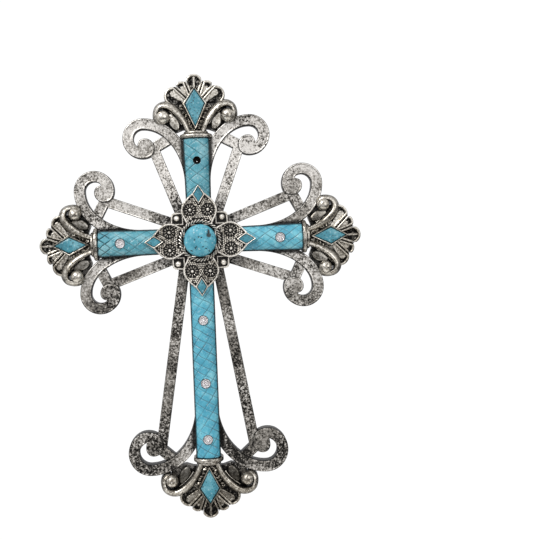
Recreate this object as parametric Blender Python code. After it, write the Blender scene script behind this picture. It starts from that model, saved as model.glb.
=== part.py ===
"""A scrolled wall cross, cast in one piece, with five clear stones glued into its beams.

Run it with blender --background --python part.py. Sizes are in metres and +Z is up. The cross
hangs with its flat back on the wall, the plane Y = 0, and faces -Y. The origin is where the
axis of its nail hole meets the wall.

The casting is drawn as one looks at it, from the centre of its round stone: x to the right, y up
the cross, and a height that rises from the wall towards the eye. An arm is drawn once, pointing
along +x, and turned to its place.
"""

import math

import bmesh
import bpy
from mathutils import Matrix

# The beams, which run out of the middle to a collar on each arm
BEAM_START = 0.0090
BEAM_INNER_HALF_WIDTH = 0.0083
BEAM_SIDE_HEIGHT = 0.0060
BEAM_CROWN_HEIGHT = 0.0120
SHORT_BEAM_END = 0.0690
LONG_BEAM_END = 0.1462
SHORT_BEAM_END_HALF_WIDTH = 0.0093
LONG_BEAM_END_HALF_WIDTH = 0.0084

# The two rounded bands of a collar
COLLAR_WIDE_BAND_LENGTH = 0.0026
COLLAR_WIDE_BAND_PROUD = 0.0017
COLLAR_NARROW_BAND_LENGTH = 0.0022
COLLAR_NARROW_BAND_PROUD = 0.0006
COLLAR_EDGE_ROUND = 0.0006

# The flat open frame of bands, volutes, struts and webs behind the beams
BAND_WIDTH = 0.0075
BAND_HEIGHT = 0.0075
BAND_SWEEP = 0.0422
BAND_LANDING_INSET = 0.0006
VOLUTE_TIGHTENS_AT_DEG = 150.0
VOLUTE_MEETS_EYE_AT_DEG = 260.0
EYE_DRAWN_IN_AT_DEG = 100.0
EYE_DRAWN_IN_SHARE = 0.26
STRUT_WIDTH = 0.0072
UPRIGHT_STRUT_HEIGHT = 0.0064
LEVEL_STRUT_HEIGHT = 0.0062
FRAME_WEB_WIDTH = 0.0074
FRAME_WEB_HEIGHT = 0.0060

# The finial that ends each arm: a lozenge, two hooked scrolls with ball ends and a shell
FINIAL_PLATE_HEIGHT = 0.0045
FINIAL_ROOT_HEIGHT = 0.0064
HOOK_HALF_WIDTH = 0.0028
HOOK_SHOULDER_HEIGHT = 0.0095
HOOK_CROWN_HEIGHT = 0.0125
BALL_CENTRE_HEIGHT = 0.0088
SHELL_FLOOR_HEIGHT = 0.0070
SHELL_RIM_HEIGHT = 0.0100
SHELL_RIM_WIDTH = 0.0016
SHELL_STEP = 0.0004
SHELL_MIDDLE_RADIUS = 0.0060
SHELL_MIDDLE_ROOT_HALF_WIDTH = 0.0042
SHELL_LOBE_RADIUS = 0.0042
SHELL_LOBE_ROOT_HALF_WIDTH = 0.0026
SHELL_RIB_LENGTH = 0.0122
SHELL_RIB_TOP_SHARE = 0.4
LOZENGE_RIM_HEIGHT = 0.0122
LOZENGE_RIM_WIDTH = 0.0013
LOZENGE_RECESS = 0.0008

# The rosette in the middle
HUB_RADIUS = 0.0170
HUB_HEIGHT = 0.0110
PETAL_HEIGHT = 0.0124
PETAL_RIM_HEIGHT = 0.0142
PETAL_RIM_WIDTH = 0.0017
FLOWER_REACH = 0.0205
FLOWER_SIDE = 0.0060
FLOWER_RADIUS = 0.0047
FLOWER_HEIGHT = 0.0140
FLOWER_NOTCH_SHARE = 0.8
FLOWER_TOP_SHARE = 0.55
CORNER_LEAF_REACH = 0.0149
CORNER_LEAF_HALF_SIDE = 0.0042
CORNER_LEAF_HEIGHT = 0.0112
CORNER_LEAF_RIM = 0.0007
CORNER_LEAF_CUT_SHARE = 0.3
CORNER_LEAF_RIM_SHARE = 0.85
CORNER_LEAF_FIELD_SHARE = 0.72
CORNER_BEAD_RADIUS = 0.0018
ROPE_RING_RADIUS = 0.0130
ROPE_RADIUS = 0.0017
ROPE_CENTRE_HEIGHT = 0.0132
ROPE_TURNS = 28
ROPE_NOTCH_SHARE = 0.8
ROPE_CREST_SHARE = 0.4
ROUND_STONE_RADIUS = 0.0114
ROUND_STONE_EDGE_HEIGHT = 0.0135
CROSS_DEPTH = 0.0190

# The nail hole and the clear stones, which sit in round pockets
STONE_REACH = 0.0537
LONG_BEAM_STONE_REACHES = (0.0537, 0.0960, 0.1337)
STONE_RADIUS = 0.0028
STONE_POCKET_DEPTH = 0.0014
STONE_PROUD = 0.0012
STONE_CLEARANCE = 0.0003
NAIL_HEAD_RADIUS = 0.0027
NAIL_HEAD_DEPTH = 0.0070
NAIL_SHANK_RADIUS = 0.0009

# How far the shells run behind the wall plane before the back is cut flat
UNDERCUT = 0.0030
SHELL_STAGGER = 0.00001

ARMS = {
    "top": {
        "turn_deg": 90.0,
        "beam_end": SHORT_BEAM_END,
        "beam_end_half_width": SHORT_BEAM_END_HALF_WIDTH,
        "strut_height": UPRIGHT_STRUT_HEIGHT,
        "shell_reach": 0.0370,
        "lozenge_half_width": 0.0079,
        "hook_spread": 1.00,
        "ball_radius": 0.0053,
    },
    "right": {
        "turn_deg": 0.0,
        "beam_end": SHORT_BEAM_END,
        "beam_end_half_width": SHORT_BEAM_END_HALF_WIDTH,
        "strut_height": LEVEL_STRUT_HEIGHT,
        "shell_reach": 0.0330,
        "lozenge_half_width": 0.0067,
        "hook_spread": 0.96,
        "ball_radius": 0.0049,
    },
    "left": {
        "turn_deg": 180.0,
        "beam_end": SHORT_BEAM_END,
        "beam_end_half_width": SHORT_BEAM_END_HALF_WIDTH,
        "strut_height": LEVEL_STRUT_HEIGHT,
        "shell_reach": 0.0330,
        "lozenge_half_width": 0.0067,
        "hook_spread": 0.96,
        "ball_radius": 0.0049,
    },
    "bottom": {
        "turn_deg": -90.0,
        "beam_end": LONG_BEAM_END,
        "beam_end_half_width": LONG_BEAM_END_HALF_WIDTH,
        "strut_height": UPRIGHT_STRUT_HEIGHT,
        "shell_reach": 0.0343,
        "lozenge_half_width": 0.0077,
        "hook_spread": 1.16,
        "ball_radius": 0.0050,
    },
}

# A bracket is one side of an arm's frame. Places are along and across the arm. The volute's ring
# is given from the beam's end, its eye and the web's foot from the ring's centre.
BRACKETS = {
    "short": {
        "ring_past_beam": 0.0012,
        "ring_across": 0.0360,
        "ring_radius": 0.0100,
        "eye_offset": (-0.0064, -0.0012),
        "eye_radius": 0.0065,
        "web_foot": (0.0000, -0.0193),
        "strut_from": (0.0120, 0.0099),
        "strut_to": (0.0635, 0.0291),
    },
    "low": {
        "ring_past_beam": -0.0004,
        "ring_across": 0.0336,
        "ring_radius": 0.0099,
        "eye_offset": (-0.0063, -0.0004),
        "eye_radius": 0.0064,
        "web_foot": (0.0004, -0.0178),
        "strut_from": (0.0120, 0.0098),
        "strut_to": (0.0630, 0.0279),
    },
    "long": {
        "ring_past_beam": -0.0037,
        "ring_across": 0.0388,
        "ring_radius": 0.0114,
        "eye_offset": (-0.0047, -0.0020),
        "eye_radius": 0.0068,
        "web_foot": (0.0060, -0.0163),
        "strut_from": (0.0120, 0.0103),
        "strut_to": (0.1405, 0.0317),
    },
}

# Each arm's two brackets, on its left and on its right as it points away from the middle
ARM_BRACKETS = {
    "top": ("short", "short"),
    "right": ("short", "low"),
    "left": ("low", "short"),
    "bottom": ("long", "long"),
}

# Control points of free curves, along and across the arm from the beam's end, at a spread of 1
HOOK_POINTS = (
    (0.0040, 0.0042),
    (0.0110, 0.0072),
    (0.0170, 0.0112),
    (0.0216, 0.0165),
    (0.0215, 0.0222),
    (0.0158, 0.0250),
)
BALL_PLACE = (0.0146, 0.0222)
ROOT_OUTLINE = ((0.0030, 0.0052), (0.0120, 0.0056), (0.0210, 0.0080))
PLATE_OUTLINE = (
    (0.0068, 0.0030),
    (0.0062, 0.0088),
    (0.0046, 0.0130),
    (0.0070, 0.0222),
    (0.0205, 0.0215),
    (0.0220, 0.0130),
    (0.0190, 0.0050),
)
# Lobes of the shell, from its middle lobe's centre: where each starts, bends and ends
SHELL_MIDDLE_LOBE = ((-0.0110, 0.0), (-0.0050, 0.0), (0.0, 0.0))
SHELL_LOBES = (
    ((-0.0170, 0.0034), (-0.0090, 0.0052), (-0.0021, 0.0089)),
    ((-0.0175, 0.0060), (-0.0120, 0.0108), (-0.0060, 0.0169)),
)
LOZENGE_FROM_BEAM = 0.0058
LOZENGE_TIP_BEFORE_SHELL = 0.0029
LOZENGE_WIDEST_BEFORE_SHELL = 0.0142

# Half of a petal's outline and its small lozenge, from the centre of the cross
PETAL_OUTLINE = (
    (0.0100, 0.0080),
    (0.0140, 0.0100),
    (0.0175, 0.0117),
    (0.0210, 0.0120),
    (0.0245, 0.0109),
    (0.0280, 0.0082),
    (0.0315, 0.0044),
)
PETAL_LOZENGE_INNER = 0.0243
PETAL_LOZENGE_OUTER = 0.0374
PETAL_LOZENGE_HALF_WIDTH = 0.0045
PETAL_LOZENGE_RIM_HEIGHT = 0.0146
PETAL_LOZENGE_RIM_WIDTH = 0.0009

# Where the rings of a ball and of the round stone stand, up from level
BALL_RINGS_DEG = (38.0, 72.0)
ROUND_STONE_RINGS_DEG = (24.0, 50.0)
ROUND_STONE_TOP_SHARE = 0.2
STONE_TABLE_SHARE = 0.55
HOOK_CREST_SHARE = 0.45

# How finely round work is cut
BEAM_STEPS = 6
BAND_STEPS = 7
RING_STEPS = 6
TIGHTENING_STEPS = 5
LOBE_END_STEPS = 4
EYE_SIDES = 12
BALL_SIDES = 10
CORNER_BEAD_SIDES = 6
FLOWER_SIDES = 10
HUB_SIDES = 16
ROUND_STONE_SIDES = 20
STONE_SIDES = 12
HOLE_SIDES = 12

MATERIALS = {
    "antiqued_silver": {"colour": (0.42, 0.41, 0.38, 1.0), "metallic": 0.85, "roughness": 0.42},
    "clear_stone": {"colour": (0.85, 0.84, 0.88, 1.0), "metallic": 0.0, "roughness": 0.05},
}


def clear_scene():
    """Removes what the file opened with."""
    for obj in list(bpy.data.objects):
        bpy.data.objects.remove(obj)


def make_material(name):
    """The named Principled material."""
    material = bpy.data.materials.new(name)
    material.use_nodes = True
    shader = material.node_tree.nodes["Principled BSDF"]
    shader.inputs["Base Color"].default_value = MATERIALS[name]["colour"]
    shader.inputs["Metallic"].default_value = MATERIALS[name]["metallic"]
    shader.inputs["Roughness"].default_value = MATERIALS[name]["roughness"]
    return material


def helper_collection(name):
    """A collection for shells and cutters, which are not pieces of the cross."""
    collection = bpy.data.collections.new(name)
    bpy.context.scene.collection.children.link(collection)
    return collection


def drawing_to_world():
    """Takes (x, y, height) on the drawing to the hanging cross."""
    drop = Matrix.Translation((0.0, 0.0, -STONE_REACH))
    return drop @ Matrix.Rotation(math.radians(90.0), 4, "X")


def arm_turn(arm):
    """Turns an arm drawn along +x to its place."""
    return Matrix.Rotation(math.radians(ARMS[arm]["turn_deg"]), 4, "Z")


def arc(centre, radii, start_deg, end_deg, steps):
    """Points on an ellipse about a centre."""
    points = []
    for step in range(steps + 1):
        angle = math.radians(start_deg + (end_deg - start_deg) * step / steps)
        points.append((centre[0] + radii[0] * math.cos(angle), centre[1] + radii[1] * math.sin(angle)))
    return points


def smooth_curve(points, steps):
    """A curve through points, with so many steps between one and the next."""
    padded = [points[0], *points, points[-1]]
    curve = []
    for before, start, end, after in zip(padded, padded[1:], padded[2:], padded[3:]):
        for step in range(steps):
            t = step / steps
            curve.append(
                tuple(
                    0.5
                    * (
                        2 * b
                        + (c - a) * t
                        + (2 * a - 5 * b + 4 * c - d) * t * t
                        + (3 * b - a - 3 * c + d) * t**3
                    )
                    for a, b, c, d in zip(before, start, end, after)
                )
            )
    curve.append(tuple(points[-1]))
    return curve


def left_normals(path, closed=False):
    """The unit normal on the left of each point of a path."""
    normals = []
    last = len(path) - 1
    for i in range(len(path)):
        before = path[i - 1] if i or closed else path[0]
        after = path[(i + 1) % len(path)] if i < last or closed else path[last]
        dx, dy = after[0] - before[0], after[1] - before[1]
        length = math.hypot(dx, dy)
        normals.append((-dy / length, dx / length))
    return normals


def shifted(path, distance, closed=False):
    """The path moved to its left."""
    return [
        (x + nx * distance, y + ny * distance)
        for (x, y), (nx, ny) in zip(path, left_normals(path, closed))
    ]


def at_height(outline, height):
    """An outline as points at one height."""
    return [(x, y, height) for x, y in outline]


def shrunk(outline, centre, share):
    """An outline drawn in towards a centre."""
    return [(centre[0] + (x - centre[0]) * share, centre[1] + (y - centre[1]) * share) for x, y in outline]


def circle(centre, radius, sides):
    """A round outline."""
    return arc(centre, (radius, radius), 0.0, 360.0, sides)[:-1]


class Casting:
    """Gathers the closed shells that are fused into the casting, and what is cut from it."""

    def __init__(self):
        self.shells = helper_collection("shells")
        self.cutters = helper_collection("cutters")
        self.turn = Matrix.Identity(4)

    def floor(self):
        """The depth of the next shell's underside. No two share a plane, and the back cut trims all."""
        return -UNDERCUT - SHELL_STAGGER * len(self.shells.objects)

    def add(self, rings, collection=None, closed=False):
        """Adds a closed shell that runs through rings of points, capped at both ends or joined up."""
        mesh = bmesh.new()
        loops = [[mesh.verts.new(point) for point in ring] for ring in rings]
        follow = loops[1:] + loops[:1] if closed else loops[1:]
        for loop, following in zip(loops, follow):
            for i in range(len(loop)):
                mesh.faces.new((loop[i - 1], loop[i], following[i], following[i - 1]))
        if not closed:
            mesh.faces.new(loops[0])
            mesh.faces.new(loops[-1])
        mesh.transform(drawing_to_world() @ self.turn)
        bmesh.ops.recalc_face_normals(mesh, faces=mesh.faces)
        collection = collection or self.shells
        data = bpy.data.meshes.new(f"{collection.name}_{len(collection.objects)}")
        mesh.to_mesh(data)
        mesh.free()
        obj = bpy.data.objects.new(data.name, data)
        obj.hide_render = True
        obj.display_type = "WIRE"
        collection.objects.link(obj)
        return obj

    def slab(self, outline, height):
        """A flat plate on the wall side, up to a height."""
        self.add([at_height(outline, self.floor()), at_height(outline, height)])

    def ridge(self, path, half_widths, profile, closed=False):
        """A bar along a path. The profile gives shares of the half width and heights, left to right."""
        floor = self.floor()
        section = [(-1.0, floor), *profile, (1.0, floor)]
        rings = []
        for (x, y), (nx, ny), half in zip(path, left_normals(path, closed), half_widths):
            rings.append([(x - nx * half * s, y - ny * half * s, h) for s, h in section])
        self.add(rings, closed=closed)

    def dome(self, outline, centre, rings):
        """A raised form over an outline: each ring is a share of the outline and its height."""
        self.add(
            [at_height(shrunk(outline, centre, rings[0][0]), self.floor())]
            + [at_height(shrunk(outline, centre, share), height) for share, height in rings]
        )


def beam_ring(along, half_width, side_height, crown_height, floor):
    """A beam's section: upright sides under a flattened arch."""
    arch = arc((0.0, 0.0), (half_width, crown_height - side_height), 0.0, 180.0, BEAM_STEPS)
    section = [(along, across, side_height + rise) for across, rise in arch]
    return [(along, half_width, floor), *section, (along, -half_width, floor)]


def add_beam(casting, arm):
    """One arm's beam, which tapers towards the middle, and its collar."""
    end, end_half_width = ARMS[arm]["beam_end"], ARMS[arm]["beam_end_half_width"]
    wide_end = end + COLLAR_WIDE_BAND_LENGTH
    floor = casting.floor()
    stations = (
        (BEAM_START, BEAM_INNER_HALF_WIDTH),
        (0.5 * (BEAM_START + end), 0.5 * BEAM_INNER_HALF_WIDTH + 0.5 * end_half_width),
        (wide_end, end_half_width),
    )
    casting.add(
        [beam_ring(along, half, BEAM_SIDE_HEIGHT, BEAM_CROWN_HEIGHT, floor) for along, half in stations]
    )
    bands = (
        (end, COLLAR_WIDE_BAND_LENGTH, end_half_width, COLLAR_WIDE_BAND_PROUD),
        (
            wide_end - COLLAR_EDGE_ROUND / 2,
            COLLAR_NARROW_BAND_LENGTH,
            BEAM_INNER_HALF_WIDTH - COLLAR_NARROW_BAND_PROUD,
            COLLAR_NARROW_BAND_PROUD,
        ),
    )
    for start, length, half_width, proud in bands:
        floor = casting.floor()
        rings = []
        for along, share in ((0.0, 0.0), (COLLAR_EDGE_ROUND, 1.0), (length - COLLAR_EDGE_ROUND, 1.0), (length, 0.0)):
            grow = proud - COLLAR_EDGE_ROUND * (1.0 - share)
            rings.append(
                beam_ring(start + along, half_width + grow, BEAM_SIDE_HEIGHT, BEAM_CROWN_HEIGHT + grow, floor)
            )
        casting.add(rings)


def eye_point(centre, radius, degrees):
    """A point on a volute's eye: a disc, drawn in on the side where the curl's slot runs in beside it."""
    facing = max(0.0, math.cos(math.radians(degrees - EYE_DRAWN_IN_AT_DEG)))
    reach = radius * (1.0 - EYE_DRAWN_IN_SHARE * facing * facing)
    angle = math.radians(degrees)
    return centre[0] + reach * math.cos(angle), centre[1] + reach * math.sin(angle)


def band_outline(arm, bracket):
    """The centre of a frame band's volute, and the band's outline.

    The band sweeps off the beam's side, curls round the volute's ring and tightens on to its eye.
    """
    half, radius = BAND_WIDTH / 2, bracket["ring_radius"]
    ring = (ARMS[arm]["beam_end"] + bracket["ring_past_beam"], bracket["ring_across"])
    eye = (ring[0] + bracket["eye_offset"][0], ring[1] + bracket["eye_offset"][1])
    landing = ARMS[arm]["beam_end_half_width"] - BAND_LANDING_INSET - half
    sweep_centre = (ring[0] + radius - BAND_SWEEP, ring[1])
    sweep = arc(sweep_centre, (BAND_SWEEP, ring[1] - landing), -90.0, 0.0, BAND_STEPS)
    outline = shifted(sweep, -half)[:-1]
    outline += arc(ring, (radius + half, radius + half), 0.0, VOLUTE_TIGHTENS_AT_DEG, RING_STEPS)
    for step in range(1, TIGHTENING_STEPS + 1):
        share = step / TIGHTENING_STEPS
        degrees = VOLUTE_TIGHTENS_AT_DEG + (VOLUTE_MEETS_EYE_AT_DEG - VOLUTE_TIGHTENS_AT_DEG) * share
        eased = share * share * (3.0 - 2.0 * share)
        middle = [place + eased * offset for place, offset in zip(ring, bracket["eye_offset"])]
        reach = radius + half + (bracket["eye_radius"] - radius - half) * eased
        angle = math.radians(degrees)
        outline.append((middle[0] + reach * math.cos(angle), middle[1] + reach * math.sin(angle)))
    degrees = VOLUTE_MEETS_EYE_AT_DEG + 360.0 / EYE_SIDES
    while degrees < 380.0 or math.dist(outline[-1], ring) < radius - half:
        outline.append(eye_point(eye, bracket["eye_radius"], degrees))
        degrees += 180.0 / EYE_SIDES
    meets = math.degrees(math.atan2(outline[-1][1] - ring[1], outline[-1][0] - ring[0]))
    outline[-1:] = arc(ring, (radius - half, radius - half), meets, 0.0, RING_STEPS)
    return ring, outline + shifted(sweep, half)[-2::-1]


def add_bracket(casting, arm, bracket):
    """One side of an arm's open frame: band with its volute, strut and the web between them."""
    ring, outline = band_outline(arm, bracket)
    casting.slab(outline, BAND_HEIGHT)
    height = ARMS[arm]["strut_height"]
    strut = [bracket["strut_from"], bracket["strut_to"]]
    casting.ridge(strut, [STRUT_WIDTH / 2] * 2, [(-1.0, height), (1.0, height)])
    foot = (ring[0] + bracket["web_foot"][0], ring[1] + bracket["web_foot"][1])
    web = [bracket["strut_to"], foot]
    casting.ridge(web, [FRAME_WEB_WIDTH / 2] * 2, [(-1.0, FRAME_WEB_HEIGHT), (1.0, FRAME_WEB_HEIGHT)])


def add_ball(casting, centre, radius, centre_height, sides):
    """A ball that stands on a round stalk of its own width."""
    rings = [(1.0, centre_height)]
    for degrees in BALL_RINGS_DEG:
        angle = math.radians(degrees)
        rings.append((math.cos(angle), centre_height + radius * math.sin(angle)))
    casting.dome(circle(centre, radius, sides), centre, rings)


def add_lozenge(casting, inner, outer, widest, half_width, rim_height, rim_width):
    """A raised lozenge rim round a sunk, slightly ridged field."""
    outline = [(inner, 0.0), (widest, half_width), (outer, 0.0), (widest, -half_width)]
    slope = math.hypot(min(widest - inner, outer - widest), half_width)
    inradius = half_width * min(widest - inner, outer - widest) / slope
    top, field = 1.0 - 0.5 * rim_width / inradius, 1.0 - 1.2 * rim_width / inradius
    casting.dome(
        outline,
        (widest, 0.0),
        [
            (1.0, rim_height - rim_width / 2),
            (top, rim_height),
            (field, rim_height - LOZENGE_RECESS),
            (field / 4, rim_height - LOZENGE_RECESS / 3),
        ],
    )


def finger_outline(path, root_half_width, end_radius):
    """The closed outline of a finger: up one side, round its end and down the other side."""
    last = len(path) - 1
    widths = [root_half_width + (end_radius - root_half_width) * i / last for i in range(last + 1)]
    normals = left_normals(path)
    one_side = [(x + nx * w, y + ny * w) for (x, y), (nx, ny), w in zip(path, normals, widths)]
    other_side = [(x - nx * w, y - ny * w) for (x, y), (nx, ny), w in zip(path, normals, widths)]
    heading = math.degrees(math.atan2(normals[-1][1], normals[-1][0]))
    cap = arc(path[-1], (end_radius, end_radius), heading, heading - 180.0, LOBE_END_STEPS)
    return one_side[:-1] + cap + other_side[-2::-1]


def add_rimmed_plate(casting, outline, rim_height, rim_width, floor_height):
    """A plate with a raised rim round its whole edge. The outline runs clockwise."""
    rings = ((0.0, rim_height - 0.4 * rim_width), (0.4 * rim_width, rim_height), (rim_width, floor_height))
    casting.add(
        [at_height(outline, casting.floor())]
        + [at_height(shifted(outline, -inset, closed=True), height) for inset, height in rings]
    )


def add_finial(casting, arm):
    """The end of an arm: plates, shell, lozenge and hooked scrolls with ball ends."""
    sizes = ARMS[arm]
    base, spread = sizes["beam_end"], sizes["hook_spread"]
    shell = base + sizes["shell_reach"]
    middle = [(shell + along, across) for along, across in SHELL_MIDDLE_LOBE]
    outline = finger_outline(middle, SHELL_MIDDLE_ROOT_HALF_WIDTH, SHELL_MIDDLE_RADIUS)
    add_rimmed_plate(casting, outline, SHELL_RIM_HEIGHT, SHELL_RIM_WIDTH, SHELL_FLOOR_HEIGHT)
    rib_end = shell + SHELL_MIDDLE_RADIUS - SHELL_RIM_WIDTH / 2
    rib = 0.5 * (SHELL_FLOOR_HEIGHT + SHELL_RIM_HEIGHT)
    half_rib = SHELL_RIM_WIDTH / 2
    root = [(base + along, across) for along, across in ROOT_OUTLINE]
    casting.slab(root + [(along, -across) for along, across in reversed(root)], FINIAL_ROOT_HEIGHT)
    rib_path = [(rib_end - SHELL_RIB_LENGTH, 0.0), (rib_end, 0.0)]
    rib_top = [(-SHELL_RIB_TOP_SHARE, rib), (SHELL_RIB_TOP_SHARE, rib)]
    casting.ridge(rib_path, [half_rib] * 2, rib_top)
    for side in (1.0, -1.0):
        for number, lobe in enumerate(SHELL_LOBES, start=1):
            path = [(shell + along, across * side) for along, across in lobe]
            outline = finger_outline(path, SHELL_LOBE_ROOT_HALF_WIDTH, SHELL_LOBE_RADIUS)
            drop = SHELL_STEP * number
            add_rimmed_plate(
                casting, outline, SHELL_RIM_HEIGHT - drop, SHELL_RIM_WIDTH, SHELL_FLOOR_HEIGHT - drop
            )
        plate = [(base + along, across * side * spread) for along, across in PLATE_OUTLINE]
        casting.slab(plate, FINIAL_PLATE_HEIGHT)
        hook = smooth_curve([(base + along, across * side * spread) for along, across in HOOK_POINTS], 2)
        crown = [
            (-1.0, HOOK_SHOULDER_HEIGHT),
            (-HOOK_CREST_SHARE, HOOK_CROWN_HEIGHT),
            (HOOK_CREST_SHARE, HOOK_CROWN_HEIGHT),
            (1.0, HOOK_SHOULDER_HEIGHT),
        ]
        casting.ridge(hook, [HOOK_HALF_WIDTH] * len(hook), crown)
        ball = (base + BALL_PLACE[0], BALL_PLACE[1] * side * spread)
        add_ball(casting, ball, sizes["ball_radius"], BALL_CENTRE_HEIGHT, BALL_SIDES)
    add_lozenge(
        casting,
        base + LOZENGE_FROM_BEAM,
        shell - LOZENGE_TIP_BEFORE_SHELL,
        shell - LOZENGE_WIDEST_BEFORE_SHELL,
        sizes["lozenge_half_width"],
        LOZENGE_RIM_HEIGHT,
        LOZENGE_RIM_WIDTH,
    )


def add_petal(casting):
    """A petal of the middle rosette: a rimmed plate, two small flowers and a lozenge at its tip."""
    outline = [*PETAL_OUTLINE, *((along, -across) for along, across in reversed(PETAL_OUTLINE))]
    add_rimmed_plate(casting, outline, PETAL_RIM_HEIGHT, PETAL_RIM_WIDTH, PETAL_HEIGHT)
    low = 0.5 * (PETAL_HEIGHT + FLOWER_HEIGHT)
    for side in (1.0, -1.0):
        centre = (FLOWER_REACH, FLOWER_SIDE * side)
        points = circle(centre, FLOWER_RADIUS, FLOWER_SIDES)
        notches = shrunk(points, centre, FLOWER_NOTCH_SHARE)
        scalloped = [point if i % 2 else notches[i] for i, point in enumerate(points)]
        casting.dome(scalloped, centre, [(1.0, low), (FLOWER_TOP_SHARE, FLOWER_HEIGHT)])
    add_lozenge(
        casting,
        PETAL_LOZENGE_INNER,
        PETAL_LOZENGE_OUTER,
        0.5 * (PETAL_LOZENGE_INNER + PETAL_LOZENGE_OUTER),
        PETAL_LOZENGE_HALF_WIDTH,
        PETAL_LOZENGE_RIM_HEIGHT,
        PETAL_LOZENGE_RIM_WIDTH,
    )


def add_corner_leaf(casting):
    """A small square leaf with a bead, between two petals."""
    centre = (CORNER_LEAF_REACH, CORNER_LEAF_REACH)
    half, cut = CORNER_LEAF_HALF_SIDE, CORNER_LEAF_CUT_SHARE * CORNER_LEAF_HALF_SIDE
    corners = ((half, half - cut), (half - cut, half), (-half, half), (-half, -half), (half, -half))
    outline = [(centre[0] + dx, centre[1] + dy) for dx, dy in corners]
    rim = CORNER_LEAF_HEIGHT + CORNER_LEAF_RIM
    rings = [(1.0, rim), (CORNER_LEAF_RIM_SHARE, rim), (CORNER_LEAF_FIELD_SHARE, CORNER_LEAF_HEIGHT)]
    casting.dome(outline, centre, rings)
    add_ball(casting, centre, CORNER_BEAD_RADIUS, rim, CORNER_BEAD_SIDES)


def add_rosette(casting):
    """The middle of the cross: hub, petals, corner leaves, rope ring and round stone."""
    casting.slab(circle((0.0, 0.0), HUB_RADIUS, HUB_SIDES), HUB_HEIGHT)
    for quarter in range(4):
        casting.turn = Matrix.Rotation(math.radians(90.0 * quarter), 4, "Z")
        add_petal(casting)
        add_corner_leaf(casting)
    casting.turn = Matrix.Identity(4)
    rope = circle((0.0, 0.0), ROPE_RING_RADIUS, ROPE_TURNS)
    half_widths = [ROPE_RADIUS * (1.0 if i % 2 else ROPE_NOTCH_SHARE) for i in range(ROPE_TURNS)]
    crest = ROPE_CENTRE_HEIGHT + ROPE_RADIUS
    profile = [
        (-1.0, ROPE_CENTRE_HEIGHT),
        (-ROPE_CREST_SHARE, crest),
        (ROPE_CREST_SHARE, crest),
        (1.0, ROPE_CENTRE_HEIGHT),
    ]
    casting.ridge(rope, half_widths, profile, closed=True)
    rise = CROSS_DEPTH - ROUND_STONE_EDGE_HEIGHT
    rings = [(1.0, ROUND_STONE_EDGE_HEIGHT)]
    for degrees in ROUND_STONE_RINGS_DEG:
        angle = math.radians(degrees)
        rings.append((math.cos(angle), ROUND_STONE_EDGE_HEIGHT + rise * math.sin(angle)))
    rings.append((ROUND_STONE_TOP_SHARE, CROSS_DEPTH))
    casting.dome(circle((0.0, 0.0), ROUND_STONE_RADIUS, ROUND_STONE_SIDES), (0.0, 0.0), rings)


def cylinder_rings(centre, radius, low, high, sides):
    """The two ends of an upright cylinder on the drawing."""
    outline = circle(centre, radius, sides)
    return [at_height(outline, low), at_height(outline, high)]


def stone_places():
    """Where the clear stones sit on the drawing: on both side arms and down the long beam."""
    places = [(STONE_REACH, 0.0), (-STONE_REACH, 0.0)]
    return places + [(0.0, -reach) for reach in LONG_BEAM_STONE_REACHES]


def cut_holes(casting):
    """Cuts the flat back, the nail hole with the recess for its head, and the stones' pockets."""
    reach = 2 * (LONG_BEAM_END + STONE_REACH)
    wall = [(-reach, -reach), (reach, -reach), (reach, reach), (-reach, reach)]
    casting.add([at_height(wall, -3 * UNDERCUT), at_height(wall, 0.0)], casting.cutters)
    nail = (0.0, STONE_REACH)
    shank = cylinder_rings(nail, NAIL_SHANK_RADIUS, -UNDERCUT, CROSS_DEPTH, HOLE_SIDES)
    casting.add(shank, casting.cutters)
    head_floor = BEAM_CROWN_HEIGHT - NAIL_HEAD_DEPTH
    head = cylinder_rings(nail, NAIL_HEAD_RADIUS, head_floor, CROSS_DEPTH, HOLE_SIDES)
    casting.add(head, casting.cutters)
    pocket_floor = BEAM_CROWN_HEIGHT - STONE_POCKET_DEPTH
    for place in stone_places():
        pocket = cylinder_rings(place, STONE_RADIUS + STONE_CLEARANCE, pocket_floor, CROSS_DEPTH, STONE_SIDES)
        casting.add(pocket, casting.cutters)


def fuse(casting, name):
    """Fuses the shells, cuts the holes and tidies the casting's mesh."""
    body = bpy.data.objects.new(name, casting.shells.objects[0].data.copy())
    bpy.context.scene.collection.objects.link(body)
    casting.shells.objects.unlink(casting.shells.objects[0])
    for collection, operation in ((casting.shells, "UNION"), (casting.cutters, "DIFFERENCE")):
        boolean = body.modifiers.new(operation.lower(), "BOOLEAN")
        boolean.operation = operation
        boolean.operand_type = "COLLECTION"
        boolean.collection = collection
        boolean.solver = "EXACT"
    bpy.context.view_layer.update()
    fused = bpy.data.meshes.new_from_object(body.evaluated_get(bpy.context.evaluated_depsgraph_get()))
    body.modifiers.clear()
    body.data = fused
    fused.name = name
    mesh = bmesh.new()
    mesh.from_mesh(fused)
    bmesh.ops.remove_doubles(mesh, verts=mesh.verts, dist=0.000002)
    bmesh.ops.dissolve_limit(
        mesh, angle_limit=math.radians(0.5), use_dissolve_boundaries=False, verts=mesh.verts, edges=mesh.edges
    )
    bmesh.ops.triangulate(mesh, faces=mesh.faces)
    mesh.to_mesh(fused)
    mesh.free()
    fused.set_sharp_from_angle(angle=math.radians(35.0))
    return body


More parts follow.
